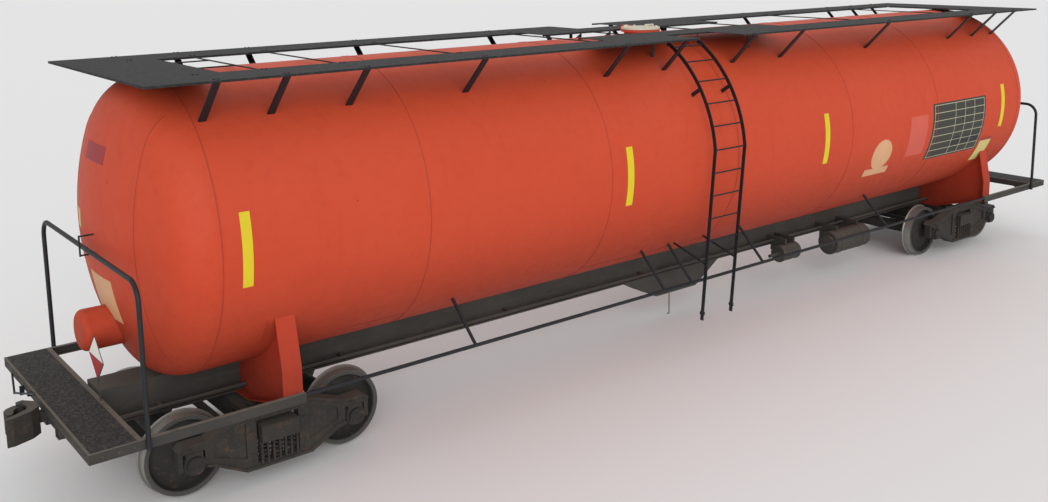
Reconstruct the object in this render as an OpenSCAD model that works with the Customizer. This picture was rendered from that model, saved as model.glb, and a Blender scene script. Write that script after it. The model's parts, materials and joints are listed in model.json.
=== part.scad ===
// Railway tank car: one long pressure tank on a centre sill, two four-wheel trucks,
// top walkway ring, side ladders, end platforms with handrails, swinging couplers.
// X runs along the car, Y across it, Z up. Z = 0 is the lowest point of the wheel flanges.
// The A end is at -X and the B end at +X. Sizes are in millimetres.

/* [Tank] */
// Outside diameter of the tank
tank_d = 3130; // [2900:10:3300]
// Length of the straight shell between the two head seams
shell_len = 14520; // [13200:20:16000]
// How far each dished head stands out beyond its seam
head_depth = 700; // [600:5:800]
// Height of the tank's underside above the rail
tank_low_above_rail = 1040; // [1030:1:1060]
// Diameter of the top manway neck
manway_d = 460; // [400:10:480]

/* [Underframe] */
// Length over the two end sills
frame_len = 17120; // [16600:20:18600]
// Width over the side sills
frame_w = 3000; // [2800:10:3100]
// Depth of each end platform along the car
platform_depth = 480; // [400:10:700]
// Depth of the side and end channels
channel_h = 99; // [80:1:140]
// Height of the channels' top edge above the rail
frame_top_above_rail = 1024; // [1000:1:1060]
// Clear width between the two webs of the centre sill
sill_gap = 330; // [310:5:360]

/* [Trucks] */
// Distance between the truck centres
truck_centres = 13160; // [12000:20:14000]
// Wheelbase of each truck
wheelbase = 1778; // [1720:2:1830]
// Diameter of the wheel tread
wheel_d = 838; // [780:2:920]
// Height of the wheel flange beyond the tread
flange_h = 25; // [22:1:32]
// Distance between the backs of the two wheels on an axle
back_to_back = 1360; // [1350:1:1370]
// Distance between the middles of the two bearings on an axle
journal_centres = 2006; // [1960:2:2040]
// Radial running clearance of journals and pins
run_clear = 0.08; // [0.02:0.01:0.1]

/* [Couplers] */
// Height of the coupler's centre line above the rail
coupler_above_rail = 876; // [840:1:900]
// Distance from the end sill's face to the coupler's pulling face
coupler_reach = 340; // [320:5:420]
// Diameter of the knuckle pin
knuckle_pin_d = 41; // [35:1:45]

/* [Walkway and ladders] */
// Height of the walkway's surface above the tank's crest
walk_over_tank = 45; // [40:1:120]
// Length over the walkway ring
walk_len = 15700; // [14000:20:16400]
// Width over the walkway ring
walk_w = 3000; // [2800:10:3100]
// Width of one side strip of the walkway
strip_w = 640; // [500:10:750]
// Rung pitch of the side ladders
rung_pitch = 305; // [280:1:320]
// Distance between the ladder's two side bars, middle to middle
ladder_w = 570; // [450:5:650]

/* [Handrails] */
// Outside diameter of the handrail pipe
pipe_d = 48; // [38:1:60]
// Height of the end handrail's top above the rail
handrail_above_rail = 2505; // [2300:5:2600]

/* [Hidden] */
$fn = 96;
e = 1;
rail = flange_h;
tank_r = tank_d / 2;
tank_z = tank_low_above_rail + rail + tank_r;
shell_half = shell_len / 2;
frame_half = frame_len / 2;
frame_y = frame_w / 2;
frame_top = frame_top_above_rail + rail;
frame_bot = frame_top - channel_h;
truck_x = truck_centres / 2;
half_base = wheelbase / 2;
wheel_r = wheel_d / 2;
axle_z = wheel_r + rail;
coupler_z = coupler_above_rail + rail;
walk_z = tank_z + tank_r + walk_over_tank;
walk_half = walk_len / 2;
walk_y = walk_w / 2;
strip_in = walk_y - strip_w;
plate_t = 8;
// Flange widths of the side channels and the end channels
channel_flange = 44;
end_flange = 60;
// Inner bar of each end platform
platform_in = frame_half - platform_depth;
// Top face of the truck's bolster, where the car's centre plate rests
bolster_top = axle_z + 211;
// Middle of the ladders and of the bottom outlet along the car
ladder_x = -460;
outlet_x = 150;
outlet_neck_r = 105;
outlet_bot = 470;
outlet_top = 1100;

// ---------- shared shapes ----------

// A round bar between two points
module rod(p, q, r) {
  d = q - p;
  len = norm(d);
  translate(p) rotate([0, acos(d[2] / len), atan2(d[1], d[0])]) cylinder(r = r, h = len);
}

// A flat YZ outline given depth along X, centred on x
module across(x, w) {
  translate([x - w / 2, 0, 0]) rotate([90, 0, 90]) linear_extrude(height = w) children();
}

// An XZ outline given depth along Y, from y
module along(y, w) {
  translate([0, y + w, 0]) rotate([90, 0, 0]) linear_extrude(height = w) children();
}

module box(lo, hi) {
  translate(lo) cube(hi - lo);
}

// Both ends or both sides
module both_sides() {
  children();
  mirror([0, 1, 0]) children();
}
module both_ends() {
  children();
  mirror([1, 0, 0]) children();
}

// The round of the tank, used to trim what is welded to it
module tank_round(len = 20000) {
  translate([-len / 2, 0, tank_z]) rotate([0, 90, 0]) cylinder(r = tank_r, h = len, $fn = 240);
}

// ---------- tank ----------

module tank_shell() {
  color([0.72, 0.27, 0.18])
    translate([-shell_half, 0, tank_z]) rotate([0, 90, 0]) cylinder(r = tank_r, h = shell_len, $fn = 240);
}

// Dished head: a wide crown and a tighter knuckle, turned about the tank's axis
head_crown_r = tank_d;
// The knuckle radius that gives the wanted depth
head_k = head_crown_r - head_depth;
head_knuckle_r = (head_k * head_k + tank_r * tank_r - head_crown_r * head_crown_r)
  / (2 * (tank_r - head_crown_r));
head_knuckle_c = tank_r - head_knuckle_r;
head_crown_c = head_depth - head_crown_r;
head_slope = atan2(head_knuckle_c, -head_crown_c);

module head_solid() {
  rotate_extrude($fn = 240) intersection() {
    translate([0, 0]) square([tank_r, head_depth]);
    union() {
      intersection() {
        translate([0, head_crown_c]) circle(r = head_crown_r, $fn = 240);
        polygon([[0, head_crown_c],
                 [2 * head_crown_r * sin(head_slope), head_crown_c + 2 * head_crown_r * cos(head_slope)],
                 [0, head_crown_c + 2 * head_crown_r]]);
      }
      translate([head_knuckle_c, 0]) circle(r = head_knuckle_r, $fn = 240);
      polygon([[0, 0], [head_knuckle_c, 0],
               [head_knuckle_c + head_knuckle_r * sin(head_slope), head_knuckle_r * cos(head_slope)],
               [0, head_crown_c + head_crown_r * cos(head_slope)]]);
    }
  }
}

module head_at_b() {
  translate([shell_half, 0, tank_z]) rotate([0, 90, 0]) head_solid();
}
module tank_heads() {
  color([0.72, 0.27, 0.18]) both_ends() head_at_b();
}

// Short sump vessel on the A-end head, with a rounded end
vessel_r = 214;
vessel_y = 80;
vessel_z = tank_z - 985;
vessel_out = 185;
vessel_round = 70;
// How deep inside the head's depth the vessel's wall starts
vessel_in = 400;
module end_vessel() {
  len = vessel_in + vessel_out;
  color([0.72, 0.27, 0.18]) difference() {
    translate([-shell_half - head_depth + vessel_in, vessel_y, vessel_z]) rotate([0, -90, 0])
      rotate_extrude() {
        square([vessel_r, len - vessel_round]);
        square([vessel_r - vessel_round, len]);
        translate([vessel_r - vessel_round, len - vessel_round]) circle(r = vessel_round);
      }
    mirror([1, 0, 0]) head_at_b();
  }
}

manway_x = -400;
manway_rise = 60;
manway_flange_t = 30;
lid_gap = 5;
lid_t = 26;
lid_over = 40;
lid_clear = 6;
hinge_r = 14;
hinge_y = manway_d / 2 + 85;
ear_x = 60;
ear_t = 20;
ear_over = 24;
leaf_half = 44;
handle_half = 70;
handle_r = 9;
handle_h = 40;
lid_z = tank_z + tank_r + manway_rise + lid_gap;
hinge_z = lid_z + lid_t / 2;
handle_y = -manway_d / 2 + 60;
module manway_neck() {
  color([0.72, 0.27, 0.18]) difference() {
    union() {
      translate([manway_x, 0, tank_z + tank_r - manway_rise]) cylinder(d = manway_d, h = 2 * manway_rise);
      translate([manway_x, 0, tank_z + tank_r + manway_rise - manway_flange_t])
        cylinder(d = manway_d + 2 * lid_over, h = manway_flange_t);
      for (s = [-1, 1])
        box([manway_x + s * ear_x - ear_t / 2, manway_d / 2, lid_z - lid_gap - manway_flange_t],
            [manway_x + s * ear_x + ear_t / 2, hinge_y + ear_over, hinge_z + ear_over]);
      translate([manway_x - ear_x - ear_t / 2, hinge_y, hinge_z]) rotate([0, 90, 0])
        cylinder(r = hinge_r, h = 2 * ear_x + ear_t);
    }
    tank_round();
    // The cover's hinge leaf and rim stand clear of the ears
    translate([manway_x, 0, lid_z - lid_gap])
      cylinder(d = manway_d + 2 * lid_over + 2 * lid_clear, h = 2 * ear_x);
  }
}

// Bolted cover that swings up on a side hinge
module manway_lid() {
  color([0.85, 0.82, 0.74]) difference() {
    union() {
      translate([manway_x, 0, lid_z]) cylinder(d = manway_d + 2 * lid_over, h = lid_t);
      box([manway_x - leaf_half, manway_d / 2, lid_z], [manway_x + leaf_half, hinge_y, lid_z + lid_t]);
      translate([manway_x - leaf_half, hinge_y, hinge_z]) rotate([0, 90, 0])
        cylinder(r = hinge_r + 12, h = 2 * leaf_half);
      // Lifting handle
      for (s = [-1, 1])
        translate([manway_x + s * handle_half, handle_y, lid_z + lid_t - e])
          cylinder(r = handle_r, h = handle_h + e);
      translate([manway_x - handle_half - handle_r, handle_y, lid_z + lid_t + handle_h]) rotate([0, 90, 0])
        cylinder(r = handle_r, h = 2 * (handle_half + handle_r));
    }
    translate([manway_x - ear_x, hinge_y, hinge_z]) rotate([0, 90, 0])
      cylinder(r = hinge_r + run_clear, h = 2 * ear_x);
  }
}

// ---------- underframe ----------

sill_web_t = 16;
sill_bot = 720;
sill_flange_t = 18;
sill_top = 1045;
sill_cap_t = 40;
sill_cap_y = 190;
sill_cap_end = platform_in - 10;
sill_end = frame_half - end_flange;
sill_y = sill_gap / 2;
sill_out = sill_y + sill_web_t;
sill_flange_y = 270;
draft_pin_x = frame_half - 630;
draft_pin_r = 35;
shank_h = 86;
pivot_pad_t = 30;
pin_r = 22;
centre_plate_r = 178;
seat_gap = 0.5;
centre_plate_bot = bolster_top + seat_gap;
pin_low = centre_plate_bot - 115;
filler_half = 240;
filler_top = 900;
pad_back = 120;
pad_front = 110;
pad_clear = 6;
carrier_x = 110;
carrier_low = 40;
carrier_t = 26;
tie_pitch = 1200;
tie_half = 60;
tie_t = 14;

module centre_sill() {
  color([0.22, 0.20, 0.18]) difference() {
    union() {
      both_sides() {
        box([-sill_cap_end, sill_y, sill_bot], [sill_cap_end, sill_out, sill_top]);
        box([-sill_end, sill_y, sill_bot], [sill_end, sill_out, frame_bot]);
        box([-sill_end, sill_y, sill_bot], [sill_end, sill_flange_y, sill_bot + sill_flange_t]);
      }
      box([-sill_cap_end, -sill_cap_y, sill_top], [sill_cap_end, sill_cap_y, sill_top + sill_cap_t]);
      both_ends() {
        // Draft pin pads above and below the coupler's shank, and the carrier below it
        box([draft_pin_x - pad_back, -sill_y, coupler_z + shank_h / 2 + pad_clear],
            [draft_pin_x + pad_front, sill_y, coupler_z + shank_h / 2 + pad_clear + pivot_pad_t]);
        box([draft_pin_x - pad_back, -sill_y, coupler_z - shank_h / 2 - pad_clear - pivot_pad_t],
            [draft_pin_x + pad_front, sill_y, coupler_z - shank_h / 2 - pad_clear]);
        translate([draft_pin_x, 0, coupler_z - shank_h / 2 - pad_clear - e])
          cylinder(r = draft_pin_r, h = shank_h + 2 * (pad_clear + e));
        box([sill_end - carrier_x, -sill_y, sill_bot + carrier_low],
            [sill_end - 20, sill_y, sill_bot + carrier_low + carrier_t]);
        // Centre filler above each truck
        box([truck_x - filler_half, -sill_y, sill_bot], [truck_x + filler_half, sill_y, filler_top]);
      }
      // Tie plates between the webs
      for (i = [-4 : 4])
        box([i * tie_pitch - tie_half, -sill_y, sill_bot],
            [i * tie_pitch + tie_half, sill_y, sill_bot + tie_t]);
    }
    tank_round(shell_len);
    both_ends() head_at_b();
    translate([outlet_x, 0, outlet_bot]) cylinder(r = outlet_neck_r, h = outlet_top - outlet_bot);
  }
}

// Body bolster: a transverse web with a wide flange that rises to cradle the tank
bolster_w = 210;
bolster_web_t = 20;
bolster_flange_t = 14;
bolster_y = frame_y - channel_flange;
bolster_foot = 563;
// The flange leaves the side sill at this height and meets the tank at this angle below its middle
bolster_knee = frame_top + 254;
bolster_low = frame_bot + 14;
saddle_a = 30.57;
saddle_y = (tank_r + 2) * cos(saddle_a);
saddle_z = tank_z - (tank_r + 2) * sin(saddle_a);
pipe_y = 320;
pipe_z = 800;
pipe_hole_r = 34;
side_bearing_y = 635;

module bolster_half() {
  difference() {
    union() {
      across(0, bolster_web_t) polygon([
        [sill_out, sill_bot + sill_flange_t], [sill_flange_y, sill_bot + sill_flange_t],
        [bolster_foot, sill_bot + bolster_flange_t],
        [bolster_y - bolster_flange_t, bolster_low + bolster_flange_t],
        [bolster_y - bolster_flange_t, bolster_knee - 3],
        [saddle_y - bolster_flange_t, saddle_z], [sill_out, saddle_z]]);
      across(0, bolster_w) polygon([
        [sill_flange_y, sill_bot], [bolster_foot, sill_bot], [bolster_y, bolster_low],
        [bolster_y, bolster_knee], [saddle_y, saddle_z], [saddle_y - bolster_flange_t, saddle_z],
        [bolster_y - bolster_flange_t, bolster_knee - 3],
        [bolster_y - bolster_flange_t, bolster_low + bolster_flange_t],
        [bolster_foot, sill_bot + bolster_flange_t], [sill_flange_y, sill_bot + bolster_flange_t]]);
    }
    tank_round(shell_len);
    // Room for the sill's cap plate
    box([-bolster_w, 0, sill_top], [bolster_w, sill_cap_y + 5, sill_top + sill_cap_t + 30]);
    box([-bolster_w, 0, sill_top - 10], [bolster_w, sill_out, tank_z]);
  }
}

module body_bolster() {
  difference() {
    both_sides() bolster_half();
    translate([-bolster_w, -pipe_y, pipe_z]) rotate([0, 90, 0])
      cylinder(r = pipe_hole_r, h = 2 * bolster_w);
  }
  // Centre plate and centre pin that seat in the truck
  translate([0, 0, centre_plate_bot]) cylinder(r = centre_plate_r, h = sill_bot - centre_plate_bot);
  translate([0, 0, pin_low]) cylinder(r = pin_r, h = centre_plate_bot - pin_low + e);
}
module body_bolsters() {
  color([0.62, 0.24, 0.16]) for (x = [-truck_x, truck_x]) translate([x, 0, 0]) body_bolster();
}

// End platform frame: end channel, inner bar and the two side sills back to the bolster
sill_run_end = truck_x - 117;
bar_w = 50;
bearer_w = 50;
bearer_ys = [-900, -450, 450, 900];
module platform_frame() {
  both_sides() {
    box([sill_run_end, frame_y - plate_t, frame_bot], [frame_half, frame_y, frame_top]);
    box([sill_run_end, frame_y - channel_flange, frame_bot], [frame_half, frame_y, frame_bot + plate_t]);
    box([sill_run_end, frame_y - channel_flange, frame_top - plate_t], [frame_half, frame_y, frame_top]);
  }
  box([frame_half - plate_t, -frame_y, frame_bot], [frame_half, frame_y, frame_top]);
  box([frame_half - end_flange, -frame_y, frame_bot], [frame_half, frame_y, frame_bot + plate_t]);
  box([frame_half - end_flange, -frame_y, frame_top - plate_t], [frame_half, frame_y, frame_top]);
  box([platform_in, -frame_y + plate_t, frame_bot], [platform_in + bar_w, frame_y - plate_t, frame_top]);
  // Bearers under the deck plate
  for (y = bearer_ys)
    box([platform_in + bar_w, y - bearer_w / 2, frame_top - bearer_w],
        [frame_half - plate_t, y + bearer_w / 2, frame_top]);
}
module platform_frames() {
  color([0.22, 0.20, 0.18]) both_ends() platform_frame();
}

deck_t = 6;
deck_inset = 24;
module decks() {
  color([0.18, 0.17, 0.16]) both_ends()
    box([platform_in + bar_w + 4, -frame_y + deck_inset, frame_top],
        [frame_half - deck_inset, frame_y - deck_inset, frame_top + deck_t]);
}

// Inverted-U pipe handrail across each end
rail_x = platform_in - 40;
bend_r = 190;
pipe_r = pipe_d / 2;
post_y = frame_y + pipe_r;
module end_handrail() {
  z_top = handrail_above_rail + rail - pipe_r;
  both_sides() {
    translate([rail_x, post_y, frame_bot]) cylinder(r = pipe_r, h = z_top - bend_r - frame_bot);
    translate([rail_x, post_y - bend_r, z_top - bend_r]) rotate([90, 0, 90])
      rotate_extrude(angle = 90) translate([bend_r, 0]) circle(r = pipe_r);
  }
  translate([rail_x, -post_y + bend_r, z_top]) rotate([-90, 0, 0])
    cylinder(r = pipe_r, h = 2 * (post_y - bend_r));
}
module handrails() {
  color([0.10, 0.11, 0.13]) both_ends() end_handrail();
}

// Diamond sign holders on short posts
sign_side = 330;
sign_y = 350;
sign_z = frame_top + 441;
sign_x = platform_in + bar_w / 2;
sign_t = 4;
post_half = 16;
module placard_holder() {
  box([sign_x - sign_t, sign_y - post_half, frame_top],
      [sign_x + sign_t, sign_y + post_half, sign_z + 150]);
  translate([sign_x + sign_t, sign_y, sign_z]) rotate([45, 0, 0])
    translate([0, -sign_side / 2, -sign_side / 2]) cube([sign_t, sign_side, sign_side]);
}
module placard_posts() {
  color([0.75, 0.72, 0.66]) {
    placard_holder();
    rotate([0, 0, 180]) placard_holder();
  }
}

// Small U grab iron on the A-end head, its arms above and below the handrail
grab_y = -50;
grab_z = tank_z - 81;
grab_h = 195;
grab_x = shell_half + head_depth + 140;
grab_r = 9;
module head_grab_iron() {
  reach = grab_h / 2;
  color([0.10, 0.11, 0.13]) difference() {
    union() {
      for (s = [-1, 1])
        rod([-grab_x, grab_y, grab_z + s * reach], [-grab_x + grab_h, grab_y, grab_z + s * reach], grab_r);
      translate([-grab_x, grab_y, grab_z - reach - grab_r]) cylinder(r = grab_r, h = grab_h + 2 * grab_r);
    }
    mirror([1, 0, 0]) head_at_b();
  }
}

// ---------- couplers ----------

// Shared outlines, +X outward from the draft pin
coupler_len = frame_half + coupler_reach - draft_pin_x;
head_start = frame_half + 45 - draft_pin_x;
knuckle_x = coupler_len - 175;
knuckle_y = -112;
knuckle_half = 112;
head_half_h = 140;
module coupler() {
  L = coupler_len;
  difference() {
    union() {
      translate([0, 0, -shank_h / 2]) cylinder(r = 78, h = shank_h);
      box([0, -62, -shank_h / 2], [head_start + 20, 62, shank_h / 2]);
      // Head: neck, guard arm and the knuckle's ears
      translate([0, 0, -head_half_h]) linear_extrude(height = 2 * head_half_h)
        polygon([[head_start, -70], [head_start + 70, -150], [knuckle_x - 30, -178],
                 [knuckle_x + 38, -160], [knuckle_x + 44, -100], [knuckle_x - 10, -60],
                 [knuckle_x - 30, 10], [knuckle_x, 80], [L - 60, 150], [L + 40, 196],
                 [L + 46, 232], [L - 20, 236], [head_start + 90, 165], [head_start, 80]]);
    }
    // Slot for the knuckle between the ears
    translate([0, 0, -knuckle_half - 5]) linear_extrude(height = 2 * knuckle_half + 10)
      polygon([[knuckle_x - 62, -300], [knuckle_x - 62, -20], [knuckle_x - 10, 30], [knuckle_x + 90, 30],
               [knuckle_x + 200, -300]]);
    translate([0, 0, -200]) cylinder(r = draft_pin_r + run_clear, h = 400);
  }
  // Knuckle pin
  translate([knuckle_x, knuckle_y, -head_half_h - 8]) cylinder(d = knuckle_pin_d, h = 2 * head_half_h + 16);
}
module knuckle() {
  L = coupler_len;
  difference() {
    union() {
      translate([knuckle_x, knuckle_y, -knuckle_half]) cylinder(r = 46, h = 2 * knuckle_half);
      translate([0, 0, -knuckle_half]) linear_extrude(height = 2 * knuckle_half)
        polygon([[knuckle_x - 20, knuckle_y - 40], [knuckle_x + 70, knuckle_y - 42], [L - 40, -118],
                 [L - 4, -70], [L, 0], [L - 14, 44], [L - 52, 56], [L - 78, 20], [L - 84, -30],
                 [knuckle_x + 46, knuckle_y + 30], [knuckle_x, knuckle_y + 46]]);
    }
    translate([knuckle_x, knuckle_y, -200]) cylinder(d = knuckle_pin_d + 2 * run_clear, h = 400);
  }
}
module at_end(a) {
  rotate([0, 0, a]) translate([draft_pin_x, 0, coupler_z]) children();
}
module coupler_a() {
  color([0.20, 0.18, 0.16]) at_end(180) coupler();
}
module coupler_b() {
  color([0.20, 0.18, 0.16]) at_end(0) coupler();
}
module knuckle_a() {
  color([0.24, 0.21, 0.18]) at_end(180) knuckle();
}
module knuckle_b() {
  color([0.24, 0.21, 0.18]) at_end(0) knuckle();
}

// Uncoupling lever: a bent rod on two hangers in front of each end sill
lever_r = 11;
lever_x = frame_half + 28;
lever_in = [lever_x, -150, frame_top + 33];
lever_low = [lever_x, -1020, frame_bot - 144];
lever_tip = [lever_x, -1046, frame_top - 29];
hanger_at = [0.25, 0.62];
hanger_half = 14;
module lever() {
  rod(lever_in, lever_low, lever_r);
  translate(lever_low) sphere(r = lever_r + 3);
  rod(lever_low, lever_tip, lever_r);
  for (t = hanger_at) {
    p = lever_in + (lever_low - lever_in) * t;
    box([frame_half, p[1] - hanger_half, min(p[2] - 16, frame_top - 60)],
        [lever_x + 16, p[1] + hanger_half, max(p[2] + 16, frame_bot + 40)]);
  }
}
module uncoupling_levers() {
  color([0.12, 0.12, 0.13]) {
    lever();
    rotate([0, 0, 180]) lever();
  }
}

// ---------- walkway, rods and brackets ----------

walk_t = 6;
lip_h = 24;
lip_t = 6;
end_plate_len = 950;
// The by-pass strip runs just clear of the manway's hinge
bypass_in = hinge_y + 45;
bypass_a = manway_x - 1470;
bypass_b = manway_x + 2000;
// The side strips stop on each side of the ladder
gap_a = ladder_x - ladder_w / 2 - 65;
gap_b = ladder_x + ladder_w / 2 + 205;
strip_end = walk_half - end_plate_len;
bracket_w = 76;
bracket_t = 12;
// Brackets and rods near the manway stand at fixed places, the others keep their share of the ring
inner_xs = [-980, 350, 1370];
outer_share = [-0.9134, -0.8242, -0.7134, -0.5261, -0.2548, 0.4395, 0.7389, 0.8344, 0.9147];
outer_xs = [for (s = outer_share) s * walk_half];
bracket_xs = concat(outer_xs, inner_xs);
rod_xs = [for (i = [1 : 6]) outer_xs[i]];
end_rod_ys = [-250, 450];

// One tread strip with turned-down lips along both edges
module strip(x0, x1, y0, y1) {
  box([x0, y0, walk_z - walk_t], [x1, y1, walk_z]);
  box([x0, y0, walk_z - lip_h], [x1, y0 + lip_t, walk_z]);
  box([x0, y1 - lip_t, walk_z - lip_h], [x1, y1, walk_z]);
}
module walkway_side() {
  strip(-strip_end, gap_a, strip_in, walk_y);
  strip(gap_b, strip_end, strip_in, walk_y);
  strip(bypass_a, bypass_b, bypass_in, strip_in);
}
module side_walkways() {
  color([0.20, 0.19, 0.19]) both_sides() walkway_side();
}
module walkway_ends() {
  color([0.20, 0.19, 0.19]) both_ends() {
    box([strip_end, -walk_y, walk_z - walk_t], [walk_half, walk_y, walk_z]);
    box([walk_half - lip_t, -walk_y, walk_z - lip_h], [walk_half, walk_y, walk_z]);
    box([strip_end, -strip_in + 10, walk_z - lip_h], [strip_end + lip_t, strip_in - 10, walk_z]);
    both_sides() box([strip_end, walk_y - lip_t, walk_z - lip_h], [walk_half, walk_y, walk_z]);
  }
}

rod_r = 8;
rod_z = walk_z - 14;
module walkway_rods() {
  color([0.10, 0.11, 0.13]) {
    for (x = rod_xs) rod([x, -strip_in, rod_z], [x, strip_in, rod_z], rod_r);
    for (x = inner_xs) rod([x, -bypass_in, rod_z], [x, bypass_in, rod_z], rod_r);
    // Two short rods between the A-end plate and the first cross rod
    for (y = end_rod_ys) rod([-strip_end, y, rod_z], [rod_xs[0], y, rod_z], rod_r);
  }
}

// Bent flat bar: an arm under the tread and a leg that slants in to the tank
bracket_bend = walk_y - 50;
// The leg's foot on the tank, as an angle above the tank's middle
foot_a = 48.77;
foot_in = 17;
foot_y = (tank_r - foot_in) * cos(foot_a);
foot_z = tank_z + (tank_r - foot_in) * sin(foot_a);
leg_half = 8;
module bracket(x) {
  top = walk_z - walk_t;
  difference() {
    across(x, bracket_w) polygon([
      [strip_in + lip_t, top], [walk_y - lip_t, top], [walk_y - lip_t, top - bracket_t],
      [bracket_bend + leg_half, top - bracket_t], [foot_y + leg_half, foot_z],
      [foot_y - leg_half, foot_z + leg_half], [bracket_bend - leg_half - 4, top - bracket_t],
      [strip_in + lip_t, top - bracket_t]]);
    tank_round();
  }
}
// Short posts that carry the by-pass strip
post_xs = [-980, 930];
post_in = strip_in - 48;
post_w = 50;
post_t = 12;
module bypass_post(x) {
  difference() {
    box([x - post_w / 2, post_in, tank_z + tank_r * sin(50)],
        [x + post_w / 2, post_in + post_t, walk_z - walk_t]);
    tank_round();
  }
}
module brackets() {
  for (x = bracket_xs) bracket(x);
  for (x = post_xs) bypass_post(x);
}
module walkway_brackets() {
  color([0.10, 0.11, 0.13]) both_sides() brackets();
}

// ---------- ladders ----------

ladder_r = tank_r + 175;
bar_deep = 50;
bar_thick = 12;
rung_r = 10;
ladder_low = 495;
ladder_foot_y = tank_r - 20;
// The curve runs from the walkway down to this angle above the tank's middle; the straight part below
// it leans in to the foot
bend_a = 6;
ladder_end = acos(strip_in / ladder_r);
ladder_xs = [ladder_x - ladder_w / 2, ladder_x + ladder_w / 2];
rung_low = 1590;
bend_y = ladder_r * cos(bend_a);
bend_z = tank_z + ladder_r * sin(bend_a);
rungs = floor((bend_z - rung_low) / rung_pitch);
curved_rungs = [16, 26, 36.5, 47, 56.5];
lug_h = 50;
lug_a = 33;
// The braces leave the tank at this angle below its middle
brace_a = 50;
brace_r = 14;
brace_drop = 185;

// Middle of a bar's straight part at height z
function bar_y(z) = ladder_foot_y + (z - ladder_low) * (bend_y - ladder_foot_y) / (bend_z - ladder_low);

module ladder_bar() {
  ro = ladder_r + bar_deep / 2;
  ri = ladder_r - bar_deep / 2;
  intersection() {
    translate([0, tank_z]) difference() {
      circle(r = ro, $fn = 240);
      circle(r = ri, $fn = 240);
    }
    polygon([[0, tank_z], [2 * ro * cos(bend_a), tank_z + 2 * ro * sin(bend_a)],
             [2 * ro * cos(40), tank_z + 2 * ro * sin(40)],
             [strip_in, tank_z + 2 * ro], [strip_in, tank_z]]);
  }
  translate([-bar_deep / 2, 0]) polygon([
    [ladder_foot_y, ladder_low], [ladder_foot_y + bar_deep, ladder_low],
    [bar_y(bend_z + 8) + bar_deep, bend_z + 8], [bar_y(bend_z + 8), bend_z + 8]]);
  // Hook that stands against the walkway's lip
  translate([strip_in, tank_z + ri * sin(ladder_end) - 30])
    square([bar_thick, walk_z - tank_z - ri * sin(ladder_end) + 30]);
}
module rung(y, z) {
  rod([ladder_xs[0], y, z], [ladder_xs[1], y, z], rung_r);
}
module ladder() {
  difference() {
    union() {
      for (x = ladder_xs) across(x, bar_thick) ladder_bar();
      for (z = [for (i = [0 : rungs]) rung_low + i * rung_pitch]) rung(bar_y(z), z);
      for (a = curved_rungs) rung(ladder_r * cos(a), tank_z + ladder_r * sin(a));
      // Stand-off lugs to the tank on the curve
      for (x = ladder_xs)
        translate([0, 0, tank_z]) rotate([lug_a, 0, 0])
          box([x - bar_thick / 2, tank_r - 20, -lug_h / 2],
              [x + bar_thick / 2, ladder_r - bar_deep / 2 + e, lug_h / 2]);
    }
    tank_round();
  }
}
module ladder_near() {
  color([0.10, 0.11, 0.13]) mirror([0, 1, 0]) ladder();
}
module ladder_far() {
  color([0.10, 0.11, 0.13]) ladder();
}

// Slanted braces from the tank's underside to the inner edge of each ladder bar
module ladder_braces() {
  y0 = (tank_r - 30) * cos(brace_a);
  z0 = tank_z - (tank_r - 30) * sin(brace_a);
  z1 = z0 - brace_drop;
  color([0.10, 0.11, 0.13]) both_sides() difference() {
    for (x = ladder_xs) rod([x, y0, z0], [x, bar_y(z1), z1], brace_r);
    tank_round();
    // Cut flush with the bars' inner edges
    translate([ladder_x, 0, 0]) across(0, ladder_w + 2 * bar_deep) translate([-bar_deep / 2, 0])
      polygon([[ladder_foot_y, ladder_low], [ladder_foot_y + 3 * bar_deep, ladder_low],
               [bar_y(tank_z) + 3 * bar_deep, tank_z], [bar_y(tank_z), tank_z]]);
  }
}

// ---------- running rails along the sides ----------

side_rail_y = frame_y - 22;
side_rail_z = frame_top - 27;
side_rail_r = 21;
strut_r = 19;
strut_xs = [-4370, -1375, -870, 570, 3560];
// The struts leave the tank at this angle below its middle
strut_a = 49;
module side_rail() {
  y0 = (tank_r - 56) * cos(strut_a);
  z0 = tank_z - (tank_r - 56) * sin(strut_a);
  difference() {
    union() {
      rod([-sill_run_end, side_rail_y, side_rail_z], [sill_run_end, side_rail_y, side_rail_z], side_rail_r);
      for (x = strut_xs) rod([x, y0, z0], [x, side_rail_y, side_rail_z], strut_r);
    }
    tank_round();
  }
}
module side_rails() {
  color([0.10, 0.11, 0.13]) both_sides() side_rail();
}

// ---------- under the car ----------

train_pipe_r = 21;
train_pipe_half = frame_half - 130;
cock_r = 32;
cock_len = 80;
clip_xs = [-7500, -5400, -3000, -600, 1800, 4200, 7500];
clip_half = 20;
clip_t = 24;
module train_pipe() {
  color([0.12, 0.12, 0.13]) {
    rod([-train_pipe_half, -pipe_y, pipe_z], [train_pipe_half, -pipe_y, pipe_z], train_pipe_r);
    // Angle cocks at both ends
    both_ends() {
      translate([train_pipe_half - 10, -pipe_y, pipe_z]) rotate([0, 90, 0])
        cylinder(r = cock_r, h = cock_len);
      translate([train_pipe_half + cock_len / 2, -pipe_y, pipe_z]) cylinder(r = 14, h = 60);
    }
    // Clips to the centre sill's web
    for (x = clip_xs)
      box([x - clip_half, -pipe_y, pipe_z - clip_t / 2], [x + clip_half, -sill_out, pipe_z + clip_t / 2]);
  }
}

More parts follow.
